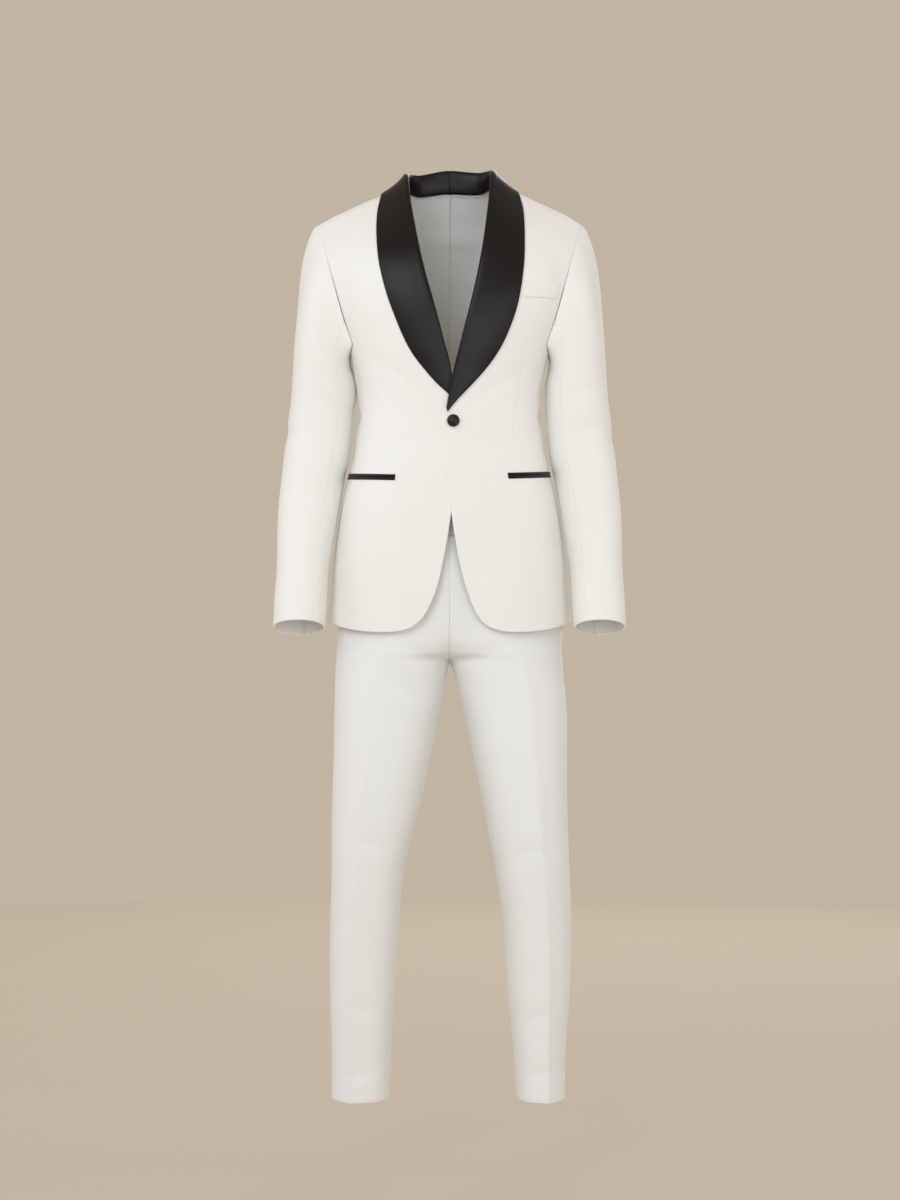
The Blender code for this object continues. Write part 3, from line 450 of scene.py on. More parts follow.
def leg_surface(side, row, turn):
    """A point of the trousers: turn runs from the outseam to the sweep, over the front if positive."""
    row, turn = np.broadcast_arrays(np.asarray(row, float), np.asarray(turn, float))
    end = "_" + SIDE_NAMES[side]
    z, outer, inner, front, back, middle, crease = by_row(
        LEGS, LEG_COLUMNS, row, ("z", "outer" + end, "inner" + end, "front", "back", "middle", "crease"))
    half = (outer - inner) / (1 - power(np.cos(np.radians(leg_sweep(row))), 2 / LEG_POWER))
    c, s = np.cos(np.radians(turn)), np.sin(np.radians(turn))
    ridge = CREASE_SHARPNESS * crease * np.exp(-np.abs(np.abs(turn) - CREASE_TURN) / CREASE_SPREAD)
    depth = np.where(s > 0, front, back)
    x = outer - half + half * power(c, 2 / LEG_POWER)
    y = middle - (depth * np.abs(s) ** (2 / LEG_POWER) + ridge) * np.sign(s)
    return np.stack([x, y, z], axis=-1)


def leg_sweep(row):
    """The angle at which the leg's section ends at a row."""
    return np.interp(row, np.arange(len(LEGS), dtype=float), column(LEGS, LEG_COLUMNS, "sweep"))


# ---- folds and cloth grids

# A fold is seen from a side of the suit. In millimetres it has two ends across and up that view, how far
# it bows out to its left, its half width and its depth, which is negative for a ridge:
# view, start, end, bow, width, depth.
VIEW_AXES = {"front": (0, (0, -1, 0)), "back": (0, (0, 1, 0)), "left": (1, (1, 0, 0)),
             "right": (1, (-1, 0, 0))}
FOLD_SAMPLES = 60
FOLD_FACING, FOLD_TAPER, FOLD_ENDS = 0.6, 0.7, (0.02, 0.98)
SHOULDER_SHARE, SHOULDER_PLACE, SHOULDER_WIDTH = 0.32, 2.1, 1.3


def fold_relief(points, normals, folds):
    """How far the folds move each point along its normal."""
    moved = np.zeros(points.shape[:-1])
    for view, start, end, bow, width, depth in folds:
        bow, width, depth = bow / 1000, width / 1000, depth / 1000
        across_axis, facing = VIEW_AXES[view]
        seen = np.clip(normals @ np.array(facing, float), 0, 1) ** FOLD_FACING
        flat = np.stack([points[..., across_axis], points[..., 2]], axis=-1)
        start, end = np.array(start, float) / 1000, np.array(end, float) / 1000
        length = np.linalg.norm(end - start)
        t = np.linspace(0, 1, FOLD_SAMPLES)[:, None]
        sideways = np.array([start[1] - end[1], end[0] - start[0]]) / length
        path = start + (end - start) * t + sideways * bow * 4 * t * (1 - t)
        tangent = unit(np.gradient(path, axis=0))
        gap = flat[..., None, :] - path
        nearest = np.argmin((gap ** 2).sum(axis=-1), axis=-1)
        gap = np.take_along_axis(gap, nearest[..., None, None], axis=-2)[..., 0, :]
        tangent = tangent[nearest]
        past = (gap * tangent).sum(axis=-1)
        aside = (gap[..., 1] * tangent[..., 0] - gap[..., 0] * tangent[..., 1]) / width
        place = t[nearest, 0]
        taper = np.sin(np.pi * np.clip(place, *FOLD_ENDS)) ** FOLD_TAPER * np.exp(-(past / width) ** 2)
        shape = np.exp(-aside ** 2)
        shape = shape - SHOULDER_SHARE * np.exp(-((aside - SHOULDER_PLACE) / SHOULDER_WIDTH) ** 2)
        moved -= depth * seen * taper * shape
    return moved


def grid_normals(grid, sign):
    """Outward normals of a grid of points, by row and column."""
    across = np.gradient(grid, axis=1)
    down = np.gradient(grid, axis=0)
    return unit(np.cross(across, down)) * sign


def arc(grid, axis):
    """Distances along a grid's rows or columns."""
    steps = np.linalg.norm(np.diff(grid, axis=axis), axis=-1)
    start = np.zeros_like(np.take(steps, [0], axis=axis))
    return np.cumsum(np.concatenate([start, steps], axis=axis), axis=axis)


# Turned edges, as distance from the edge and depth inward, for the middle of the cloth.
SEAM_ALLOWANCE, SEAM_CLEARANCE, SEAM_LEAD = 0.003, 0.00002, 0.0008
EDGE_LEAD = 0.0004
HEM_BEND_STEPS, HEM_EASE, HEM_EASE_TURN = 7, 0.0002, 3.1
FRONT_EDGE_FOLD = ((0.0022, 0.0), (0.0011, 0.0001), (0.0004, 0.0004), (0.0002, 0.0008),
                   (0.0006, 0.0013), (0.0020, 0.0014))
ROUNDED_EDGE = ((0.0022, 0.0), (0.0012, 0.0001), (0.0005, 0.0003), (0.0002, 0.0006), (0.0002, 0.0010))


def seam_edge(wall, radius):
    """A seam edge that turns in on a radius, to meet its neighbour's and run on inward."""
    back = wall / 2 + SEAM_CLEARANCE
    bend = [(back + radius * (1 - math.sin(a)), radius * (1 - math.cos(a)))
            for a in np.linspace(0, math.pi / 2, 4)]
    return ((bend[0][0] + SEAM_LEAD, 0.0), *bend, (back, SEAM_ALLOWANCE))


def turned(grid, edge, profile, sign, axis=1):
    """The grid with its last (edge 1) or first (edge 0) column turned in along a profile."""
    if axis == 0:
        return turned(grid.transpose(1, 0, 2), edge, profile, -sign).transpose(1, 0, 2)
    if edge == 0:
        return turned(grid[:, ::-1], 1, profile, -sign)[:, ::-1]
    normals = grid_normals(grid, sign)
    last, normal = grid[:, -1], normals[:, -1]
    step = last - grid[:, -2]
    spacing = np.linalg.norm(step, axis=-1, keepdims=True)
    outward = step / np.maximum(spacing, 1e-9)
    columns = [last - outward * back - normal * down for back, down in profile]
    keep = 1
    reach = arc(grid, 1)
    from_edge = np.median(reach[:, -1:] - reach, axis=0)
    while keep < grid.shape[1] - 2 and from_edge[-1 - keep] < profile[0][0] + EDGE_LEAD:
        keep += 1
    return np.concatenate([grid[:, :-keep], np.stack(columns, axis=1)], axis=1)


def hemmed(grid, edge, depth, gap, sign):
    """The grid with its last (edge 1) or first (edge 0) row folded up inside over a depth."""
    if edge == 0:
        return hemmed(grid[::-1], 1, depth, gap, -sign)[::-1]
    normals = grid_normals(grid, sign)
    reach = arc(grid, 0)
    from_edge = np.median(reach[-1:] - reach, axis=1)
    within = [k for k in range(grid.shape[0]) if gap < from_edge[k] < depth][::-1]
    last, normal = grid[-1], normals[-1]
    outward = unit(last - grid[-3])
    around = []
    for angle in np.linspace(0, np.pi, HEM_BEND_STEPS):
        back = gap * 0.5 * (1 - np.sin(angle))
        around.append(last - outward * back - normal * gap * 0.5 * (1 - np.cos(angle)))
    inside = [grid[k] - normals[k] * (gap + HEM_EASE * np.sin(HEM_EASE_TURN * from_edge[k] / depth))
              for k in within]
    outside = grid[:min(grid.shape[0] - 1, within[0] + 1)]
    return np.concatenate([outside, np.stack(around), np.stack(inside)], axis=0)


def shouldered(grid, side):
    """Points made for +X with that side's shoulder lift, and mirrored for the other side."""
    grid = np.array(grid, dtype=float)
    lift, start, full = SHOULDER_LIFT[side]
    raised = ease(grid[..., 0], start, full) * (1 - ease(grid[..., 0], *SHOULDER_END))
    grid[..., 2] += lift * raised * ease(grid[..., 2], *SHOULDER_FADE)
    grid[..., 0] *= side
    return grid


def add_cloth(name, grid, wall, material, slot, side=LEFT, sign=1, edges=(), folds=(), relief=None,
              hem=None, node=""):
    """A thin cloth piece from a grid made for +X or mirrored, with its folds, edges and wall."""
    grid = shouldered(grid, side)
    sign = sign * side
    normals = grid_normals(grid, sign)
    moved = fold_relief(grid, normals, folds)
    if relief is not None:
        moved = moved + relief
    grid = grid + normals * moved[..., None]
    for place, profile in edges:
        axis, end = {"start": (1, 0), "end": (1, 1), "first": (0, 0), "last": (0, 1)}[place]
        grid = turned(grid, end, profile, sign, axis)
    if hem is not None:
        end, depth, gap = hem
        grid = hemmed(grid, end, depth, gap, sign)
    rows, columns = grid.shape[:2]
    faces = []
    for row in range(rows - 1):
        for col in range(columns - 1):
            a = row * columns + col
            face = (a, a + 1, a + columns + 1, a + columns)
            faces.append(face if sign > 0 else face[::-1])
    across = arc(grid, 1)
    across = across - across[:, columns // 2][:, None]
    downward = arc(grid, 0)[:, columns // 2][:, None] + np.zeros_like(across)
    places = np.stack([across, downward], axis=-1).reshape(-1, 2)
    piece = placed(name, grid.reshape(-1, 3), faces, places, material)
    solidify = piece.modifiers.new("wall", "SOLIDIFY")
    solidify.thickness = wall
    solidify.offset = 0.0
    solidify.use_even_offset = False
    if node is not None:
        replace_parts(piece, node or name.replace("_cloth", ""))
    return piece


def placed(name, points, faces, places, material):
    """A finished mesh of points and faces with its cloth coordinates, in the frame."""
    mesh = bpy.data.meshes.new(name)
    mesh.from_pydata(points.tolist(), [], faces)
    loops = np.array([v for face in faces for v in face])
    mesh.uv_layers.new(name="cloth").data.foreach_set("uv", places[loops].ravel())
    mesh.materials.append(material)
    mesh.shade_smooth()
    mesh.update()
    piece = bpy.data.objects.new(name, mesh)
    bpy.context.scene.collection.objects.link(piece)
    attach(piece, "root")
    return piece


# ---- panel grids

BODY_STEPS = 15          # rows per level of the body table
LOW_TOP = 0.65           # levels under this one are closer together towards the hem
LOW_LEVELS = LOW_TOP * np.linspace(0.0, 0.97, 26) ** 1.9
CAP_ROWS, ARM_ROWS, CUFF_Z = 30, 116, -0.700
WAIST_ROW, KNEE_ROW, HEM_ROW, UPPER_ROWS, LOWER_ROWS, HALF_COLUMNS = 1.0, 8.0, 16.0, 70, 140, 30
CREASE_SHARE = 0.8       # the most of a narrow section's sweep that lies outside its crease
BAND_TOP, BAND_FOOT, BAND_ROWS, BAND_COLUMNS = 0.0, 0.988, 12, 90


def body_levels(top):
    """Levels from the hem to the top, closer together round the front's bottom corner."""
    count = int(round((top - LOW_TOP) * BODY_STEPS))
    return np.concatenate([LOW_LEVELS, np.linspace(LOW_TOP, top, count)])


def front_grid(side, columns=72):
    """A front, from its closing edge and roll line to the side seam and the armhole."""
    levels = body_levels(RIDGE - RIDGE_GAP)
    inner = front_edge_turn(levels, side)
    outer = armhole_turn(levels, "front_turn")
    share = np.linspace(0, 1, columns)
    turns = inner[:, None] + (outer - inner)[:, None] * share
    levels = levels[:, None] + np.zeros_like(turns)
    points = body_surface(levels, turns)
    lift = lap_lift(points) if side == LEFT else np.zeros(points.shape[:-1])
    return body_point(levels, turns, lift)


def side_grid(columns=30):
    """A side body, between the side seams and under the armhole."""
    share = np.linspace(0, 1, int(UNDERARM_LEVEL * BODY_STEPS))[:, None]
    turns = np.linspace(SIDE_SEAM_TURN, -SIDE_SEAM_TURN, columns)[None, :]
    top = UNDERARM_LEVEL - UNDERARM_DIP * (1 - (turns / SIDE_SEAM_TURN) ** 2)
    return body_surface(top * share, turns + 0 * share)


def back_top_level(x):
    """The back's top edge: the neckline, just outside the collar's foot, then along the shoulder.

    The clearance is taken off along the shoulder too, so the back ends 7 mm short of the ridge.
    """
    collar_x = column(COLLAR, COLLAR_COLUMNS, "roll_x")[::-1]
    collar_path = column(COLLAR, COLLAR_COLUMNS, "roll_path")[::-1]
    foot = np.interp(np.maximum(np.abs(x) - NECK_CLEARANCE, 0), collar_x, collar_path)
    return np.minimum(RIDGE - RIDGE_GAP, 2 * RIDGE - foot - NECK_LEVEL_CLEARANCE)


def back_grid(columns=60):
    """A back, from the side seam and the armhole to the centre back seam."""
    levels = body_levels(RIDGE - RIDGE_GAP)
    outer = -armhole_turn(levels, "back_turn")
    share = np.linspace(0, 1, columns)
    turns = outer[:, None] + (-90.0 - outer)[:, None] * share
    ridge_x = body_surface(np.full(turns.shape, float(RIDGE)), turns)[..., 0]
    climb = np.clip((levels - UNDERARM_LEVEL) / (RIDGE - RIDGE_GAP - UNDERARM_LEVEL), 0, 1)[:, None]
    top = UNDERARM_LEVEL + (back_top_level(ridge_x) - UNDERARM_LEVEL) * climb
    levels = np.where(climb > 0, top, levels[:, None])
    return body_surface(levels, turns)


def sleeve_grid(first, last, columns):
    """A sleeve piece between its seams, from the armhole to the cuff."""
    angles = np.linspace(first, last, columns)[None, :]
    shares = np.linspace(0, 1, CAP_ROWS)[:-1, None]
    cap = sleeve_cap(shares + 0 * angles, angles + 0 * shares)
    arm = sleeve_ring(np.linspace(SLEEVE_TOP, CUFF_Z, ARM_ROWS)[:, None], angles)
    return np.concatenate([cap, arm], axis=0)


def trouser_grid(side, front):
    """A trouser panel from the waist seam to the hem, from the outseam to the centre seam or inseam."""
    rows = np.concatenate([np.linspace(WAIST_ROW, KNEE_ROW, UPPER_ROWS),
                           np.linspace(KNEE_ROW, HEM_ROW, LOWER_ROWS)[1:]])[:, None]
    sweep = leg_sweep(rows)
    crease = np.minimum(CREASE_TURN, sweep * CREASE_SHARE)
    share = np.linspace(0, 1, HALF_COLUMNS)
    turns = np.concatenate([crease * share, crease + (sweep - crease) * share[1:]], axis=1)
    grid = leg_surface(side, rows, turns if front else -turns)
    return grid if front else grid[:, ::-1]


def waistband_grid(side):
    """Half of the waistband, from the centre front round to the centre back."""
    turns = np.linspace(90, -90, BAND_COLUMNS)[None, :]
    return leg_surface(side, np.linspace(BAND_TOP, BAND_FOOT, BAND_ROWS)[:, None], turns)


# Across the lapel and collar: how far the satin lies out from the body at shares of its way to the
# outer edge, and before that its way round the roll line from inside, as along and out from the line.
FALL_SHARES = ((0.20, 0.0048), (0.34, 0.0051), (0.50, 0.0053), (0.67, 0.0053), (0.84, 0.0051),
               (1.0, 0.0047))
SHAWL_STEPS, UNDER_STEPS = (3, 2, 3, 3, 3, 3, 5, 5, 5, 5, 5), (6, 6, 8)
EDGE_LOOK_BACK, WRAP_LOOK_AHEAD, OUT_NUDGE, STAND_FADE = 0.05, 0.08, 0.001, 1.6
UNDER_SHARES = (0.12, 0.40, 0.70)
UNDER_OUT, UNDER_REACH = 0.0031, 0.0012
FULL_WRAP = ((0.0062, -0.0032), (0.0018, -0.0032), (-0.0008, -0.0020), (-0.0017, 0.0006),
             (-0.0006, 0.0032), (0.0030, 0.0044))
EDGE_WRAP = ((0.0000, -0.0004), (-0.0004, -0.0002), (-0.0007, 0.0004), (-0.0008, 0.0014),
             (-0.0006, 0.0026), (0.0002, 0.0040))
STAND_SHARES = (0.0, 0.30, 0.66, 0.92, 1.0, 0.94)
STATION_STEPS = 12


def collar_stations(side):
    """Rows of roll_x, roll_path, edge_x, edge_path, stand and wrap, from the lapel's foot upwards."""
    stations = []
    named = [column(LAPELS[side], LAPEL_COLUMNS, label) for label in LAPEL_COLUMNS]
    for roll_z, edge_x, edge_z, wrap, stand in zip(*named):
        roll_x = float(edge_at(side, roll_z))
        stations.append((roll_x, path_at_height(roll_x, roll_z),
                         edge_x, path_at_height(edge_x, edge_z), stand, wrap))
    stations = np.array(stations + [row + (1.0,) for row in COLLAR])
    places = np.linspace(0, len(stations) - 1, (len(stations) - 1) * STATION_STEPS + 1)
    count = np.arange(len(stations), dtype=float)
    return np.stack([smooth(places, count, stations[:, k]) for k in range(6)], axis=-1)


def fall_points(side, stations, share, out, reach=0.0):
    """The collar's fall or the lapel: share runs from the roll line to the outer edge."""
    roll_x, roll_path, edge_x, edge_path, stand, _ = stations.T
    x, path = roll_x + (edge_x - roll_x) * share, roll_path + (edge_path - roll_path) * share
    point = with_lap(side, path, x, out)
    if reach:
        inner = with_lap(side, path - (edge_path - roll_path) * EDGE_LOOK_BACK,
                         x - (edge_x - roll_x) * EDGE_LOOK_BACK, out)
        point = point + unit(point - inner) * reach
    point[:, 2] += stand * (1 - share) ** STAND_FADE
    return point


def wrap_points(side, stations, step):
    """Where the satin comes round the roll line from the inside, or stands as the collar."""
    roll_x, roll_path, edge_x, edge_path, stand, wrap = stations.T
    along_by = FULL_WRAP[step][0] * wrap + EDGE_WRAP[step][0] * (1 - wrap)
    out_by = FULL_WRAP[step][1] * wrap + EDGE_WRAP[step][1] * (1 - wrap)
    base = with_lap(side, roll_path, roll_x, 0.0)
    near = with_lap(side, roll_path + (edge_path - roll_path) * WRAP_LOOK_AHEAD,
                    roll_x + (edge_x - roll_x) * WRAP_LOOK_AHEAD, 0.0)
    outward = unit(with_lap(side, roll_path, roll_x, OUT_NUDGE) - base)
    point = base + unit(near - base) * along_by[:, None] + outward * out_by[:, None]
    point[:, 2] += stand * STAND_SHARES[step]
    return point


def finer(controls, counts):
    """Smooth columns through a grid's control columns, with a count of steps between each pair."""
    marks = np.concatenate([[0], np.cumsum(np.median(
        np.linalg.norm(np.diff(controls, axis=1), axis=-1), axis=0))])
    places = [np.linspace(marks[k], marks[k + 1], count + 1)[:-1] for k, count in enumerate(counts)]
    places = np.concatenate(places + [[marks[-1]]])
    flat = controls.transpose(1, 0, 2).reshape(len(marks), -1)
    out = np.stack([smooth(places, marks, flat[:, k]) for k in range(flat.shape[1])], axis=-1)
    return out.reshape(len(places), controls.shape[0], 3).transpose(1, 0, 2)


def shawl_grid(side):
    """The satin from inside the roll line, round it and over the lapel and collar to the outer edge."""
    stations = collar_stations(side)
    columns = [wrap_points(side, stations, step) for step in range(len(FULL_WRAP))]
    columns += [fall_points(side, stations, share, out) for share, out in FALL_SHARES]
    return finer(np.stack(columns, axis=1), SHAWL_STEPS)


def under_lapel_grid(side):
    """The cloth under the lapel and collar, which reaches just past the satin's edge."""
    stations = collar_stations(side)
    columns = [fall_points(side, stations, share, UNDER_OUT) for share in UNDER_SHARES]
    columns.append(fall_points(side, stations, 1.0, UNDER_OUT, UNDER_REACH))
    return finer(np.stack(columns, axis=1), UNDER_STEPS)


def strip_grid(turns, middles, height, out, rows, bow):
    """A strip lying on the body along the given turns, centred on the given heights."""
    grid = []
    for offset in np.linspace(-0.5, 0.5, rows):
        levels = np.array([level_at_height(m + offset * height, t) for m, t in zip(middles, turns)])
        grid.append(body_point(levels, turns, np.full(len(turns), out + bow * (1 - 4 * offset ** 2))))
    return np.array(grid)


# ---- materials

class Nodes:
    """A material's node tree, with short calls to add and join nodes."""

    def __init__(self, name):
        self.material = bpy.data.materials.new(name)
        self.material.use_nodes = True
        self.tree = self.material.node_tree
        self.shader = self.tree.nodes["Principled BSDF"]

    def add(self, kind, settings=(), **inputs):
        node = self.tree.nodes.new(kind)
        for key, value in dict(settings).items():
            setattr(node, key, value)
        for key, value in inputs.items():
            self.feed(node.inputs[key.replace("_", " ") if key not in node.inputs else key], value)
        return node

    def feed(self, socket, value):
        if isinstance(value, bpy.types.NodeSocket):
            self.tree.links.new(value, socket)
        else:
            socket.default_value = value

    def math(self, operation, a, b=0.0, c=0.0):
        node = self.add("ShaderNodeMath", {"operation": operation})
        for socket, value in zip(node.inputs, (a, b, c)):
            self.feed(socket, value)
        return node.outputs[0]

    def blend(self, *parts):
        """The sum of values, each times its weight."""
        total = None
        for value, weight in parts:
            part = self.math("MULTIPLY", value, weight)
            total = part if total is None else self.math("ADD", total, part)
        return total

    def noise(self, place, scale, detail=2.0, roughness=0.5):
        node = self.add("ShaderNodeTexNoise", {"noise_dimensions": "3D"}, Vector=place, Scale=scale,
                        Detail=detail, Roughness=roughness)
        return node.outputs["Fac"]

    def ramp(self, value, low, high, low_colour, high_colour):
        node = self.add("ShaderNodeMapRange", Value=value)
        self.feed(node.inputs["From Min"], low)
        self.feed(node.inputs["From Max"], high)
        mix = self.tree.nodes.new("ShaderNodeMix")
        mix.data_type = "RGBA"
        self.feed(mix.inputs["Factor"], node.outputs["Result"])
        self.feed(mix.inputs[6], (*low_colour, 1.0))
        self.feed(mix.inputs[7], (*high_colour, 1.0))
        return mix.outputs[2]

    def shade(self, **inputs):
        for key, value in inputs.items():
            self.feed(self.shader.inputs[key.replace("_", " ")], value)


def weave_height(nodes, pitch, twill):
    """A woven height from the cloth's own metres: over and under yarns, leaning for a twill."""
    uv = nodes.add("ShaderNodeUVMap", {"uv_map": "cloth"}).outputs["UV"]
    parts = nodes.add("ShaderNodeSeparateXYZ", Vector=uv).outputs
    turn = 2 * math.pi / pitch
    across, along = nodes.math("MULTIPLY", parts[0], turn), nodes.math("MULTIPLY", parts[1], turn)
    if twill:
        return uv, nodes.math("SINE", nodes.math("ADD", across, along))
    return uv, nodes.math("MULTIPLY", nodes.math("SINE", across), nodes.math("SINE", along))


JACKET_SHADE, JACKET_TONE = (0.874, 0.864, 0.842), (0.902, 0.892, 0.870)
TROUSER_SHADE, TROUSER_TONE = (0.838, 0.840, 0.838), (0.866, 0.868, 0.866)
SATIN_SHADE, SATIN_TONE = (0.0028, 0.0026, 0.0034), (0.0050, 0.0046, 0.0058)
JACKET_NAP, TROUSER_NAP = (0.97, 0.98, 1.0, 1.0), (0.96, 0.96, 1.0, 1.0)
JACKET_PITCH, TROUSER_PITCH, SATIN_PITCH = 0.00046, 0.00050, 0.00032      # a yarn and its gap


def wool(name, dark, light, pitch, twill, sheen_tint):
    """Fine worsted: matt, with a close weave, a soft nap and hardly any colour variation."""
    nodes = Nodes(name)
    uv, yarn = weave_height(nodes, pitch, twill)
    place = nodes.add("ShaderNodeTexCoord").outputs["Object"]
    slow = nodes.noise(place, 7.0, 2.0)
    nap = nodes.noise(uv, 1400.0, 2.0, 0.6)
    slub = nodes.noise(uv, 260.0, 3.0, 0.6)
    tone = nodes.blend((slow, 0.55), (nap, 0.3), (yarn, 0.06))
    height = nodes.blend((yarn, 0.5), (nap, 0.7), (slub, 0.4))
    bump = nodes.add("ShaderNodeBump", Strength=0.22, Distance=0.00025, Height=height)
    roughness = nodes.math("ADD", nodes.math("MULTIPLY", nap, 0.10), 0.78)
    nodes.shade(Base_Color=nodes.ramp(tone, 0.25, 0.65, dark, light), Roughness=roughness,
                Normal=bump.outputs["Normal"], Sheen_Weight=0.18, Sheen_Roughness=0.45,
                Sheen_Tint=sheen_tint, Specular_IOR_Level=0.30)
    return nodes.material


def satin():
    """Black duchesse satin: a dense fine weave with long floats, so its sheen runs broad and soft."""
    nodes = Nodes("black_satin_looks")
    uv, yarn = weave_height(nodes, SATIN_PITCH, True)
    stretch = nodes.add("ShaderNodeMapping", Vector=uv, Scale=(1800.0, 90.0, 1.0)).outputs[0]
    floats = nodes.noise(stretch, 1.0, 3.0, 0.55)
    place = nodes.add("ShaderNodeTexCoord").outputs["Object"]
    slow = nodes.noise(place, 14.0, 2.0)
    height = nodes.blend((floats, 0.6), (yarn, 0.25))
    bump = nodes.add("ShaderNodeBump", Strength=0.16, Distance=0.00015, Height=height)
    roughness = nodes.math("ADD", nodes.math("MULTIPLY", floats, 0.08),
                           nodes.math("MULTIPLY_ADD", slow, 0.05, 0.31))
    tone = nodes.blend((floats, 0.6), (slow, 0.4))
    nodes.shade(Base_Color=nodes.ramp(tone, 0.3, 0.7, SATIN_SHADE, SATIN_TONE), Roughness=roughness,
                Normal=bump.outputs["Normal"], Anisotropic=0.45,
                Sheen_Weight=0.02, Sheen_Roughness=0.35, Sheen_Tint=(0.85, 0.80, 0.88, 1.0),
                Specular_IOR_Level=0.29, Specular_Tint=(1.0, 0.92, 0.91, 1.0))
    return nodes.material


def plain(name, colour, glow, roughness):
    """Plain matt paper, lit a little from behind so that it stays even."""
    nodes = Nodes(name)
    place = nodes.add("ShaderNodeTexCoord").outputs["Object"]
    slow = nodes.noise(place, 3.0, 2.0)
    paler = tuple(c * 1.02 for c in colour)
    nodes.shade(Base_Color=nodes.ramp(slow, 0.3, 0.7, colour, paler), Roughness=roughness,
                Specular_IOR_Level=0.1, Emission_Color=(*glow, 1.0), Emission_Strength=1.0)
    return nodes.material


# ---- the suit's own folds

JACKET_FOLDS = (
    ("front", (-132, -262), (-40, -340), 8, 12, 2),
    ("front", (122, -286), (42, -346), -6, 11, 1.5),
    ("front", (-36, -392), (-112, -432), -5, 13, 1.4),
    ("front", (36, -396), (104, -428), 5, 12, 1.2),
    ("front", (-178, -70), (-160, -228), -6, 12, 2.7),
    ("front", (180, -78), (161, -222), 6, 12, 2.4),
    ("front", (-128, -560), (-118, -690), 6, 26, 1.4),
    ("front", (136, -540), (150, -690), -6, 28, 2.2),
    ("right", (12, -256), (6, -346), 0, 34, -4.4),
    ("left", (10, -250), (6, -318), 0, 30, -1.6),
    ("left", (-50, -372), (58, -352), 6, 11, 3.2),
    ("left", (-30, -412), (70, -404), -4, 13, 2.2),
    ("right", (-46, -364), (60, -360), 6, 11, 2.9),
    ("right", (-36, -420), (66, -398), -5, 13, 2.4),
    ("back", (-128, -318), (-18, -366), -6, 13, 3.2),
    ("back", (124, -326), (22, -362), 5, 12, 2.9),
    ("back", (-108, -400), (-14, -408), 5, 14, 2.4),
    ("back", (14, -412), (112, -396), 6, 15, 2.6),
    ("back", (-66, -46), (64, -50), -8, 13, 2.2),
    ("back", (-158, -80), (-148, -250), 6, 15, 4.2),
    ("back", (160, -86), (146, -244), -6, 14, 3.8),
    ("back", (-70, -520), (-82, -692), 4, 24, 3.5),
    ("back", (78, -528), (70, -690), -4, 22, 3),
)
LEFT_SLEEVE_FOLDS = (
    ("right", (10, -250), (6, -318), 0, 30, -2.4),
    ("front", (252, -304), (172, -352), -8, 12, 2.2),
    ("front", (176, -398), (262, -372), 6, 12, 1.6),
    ("front", (184, -446), (256, -470), -5, 12, 1.5),
    ("front", (222, -60), (212, -180), -4, 15, 1.6),
    ("back", (174, -340), (264, -392), -8, 14, 3.5),
    ("back", (180, -420), (270, -404), 6, 13, 2.9),
    ("back", (204, -600), (270, -576), 4, 13, 1.9),
    ("left", (-52, -372), (50, -400), -5, 13, 1.9),
    ("left", (-10, -100), (-4, -230), -4, 18, 1.6),
)
RIGHT_SLEEVE_FOLDS = (
    ("left", (12, -256), (6, -346), 0, 34, -5.6),
    ("front", (-250, -312), (-170, -366), 8, 12, 1.9),
    ("front", (-178, -408), (-264, -392), -6, 12, 1.4),
    ("front", (-188, -468), (-262, -486), 5, 13, 1.5),
    ("front", (-220, -66), (-210, -190), 4, 15, 1.6),
    ("back", (-172, -350), (-262, -384), 8, 14, 3.2),
    ("back", (-182, -430), (-272, -418), -6, 13, 3.2),
    ("back", (-206, -590), (-272, -560), -4, 13, 1.9),
    ("right", (-50, -384), (52, -394), 5, 13, 1.9),
    ("right", (-8, -104), (-2, -236), 4, 18, 1.6),
)
TROUSER_FOLDS = (
    ("front", (-12, -756), (-88, -716), 6, 12, 2.2),
    ("front", (14, -752), (92, -722), -6, 12, 2),
    ("front", (-30, -812), (-110, -776), 6, 14, 1.6),
    ("front", (-82, -1062), (-172, -1046), -6, 14, 1.6),
    ("front", (92, -1078), (176, -1058), 6, 14, 1.6),
    ("front", (-98, -1336), (-160, -1318), -6, 13, 1.9),
    ("front", (104, -1352), (172, -1326), 6, 13, 1.9),
    ("front", (-112, -1412), (-176, -1428), 6, 11, 1.6),
    ("front", (118, -1424), (178, -1412), -6, 11, 1.8),
    ("back", (-16, -772), (-126, -748), 10, 15, 4.2),
    ("back", (18, -776), (124, -742), -10, 15, 3.8),
    ("back", (-36, -846), (-132, -812), 10, 18, 3.2),
    ("back", (44, -852), (138, -820), -8, 18, 2.9),
    ("back", (-86, -1052), (-176, -1020), 6, 13, 4.2),
    ("back", (90, -1066), (180, -1030), -6, 13, 3.8),
    ("back", (-94, -1104), (-174, -1110), -5, 14, 2.9),
    ("back", (98, -1112), (184, -1120), 5, 14, 2.9),
    ("back", (-100, -1398), (-176, -1380), 5, 12, 2.6),
    ("back", (108, -1392), (180, -1372), -5, 12, 2.6),
    ("left", (-60, -735), (66, -742), 4, 16, 1.6),
    ("right", (-60, -738), (66, -734), 4, 16, 1.6),
)


# ---- the pieces

CLOTH_WALL, FACING_WALL, TROUSER_WALL, JET_WALL = 0.0013, 0.0010, 0.0012, 0.0008
HEM_TURN, CUFF_TURN, LEG_HEM_TURN = 0.040, 0.038, 0.055
HEM_GAP = 0.0019
BODY_SEAM = seam_edge(CLOTH_WALL, 0.0006)
SLEEVE_SEAM = seam_edge(CLOTH_WALL, 0.0005)
FACING_SEAM = seam_edge(FACING_WALL, 0.0003)
TROUSER_SEAM = seam_edge(TROUSER_WALL, 0.0005)
WAIST_SEAM = seam_edge(TROUSER_WALL, 0.0002)

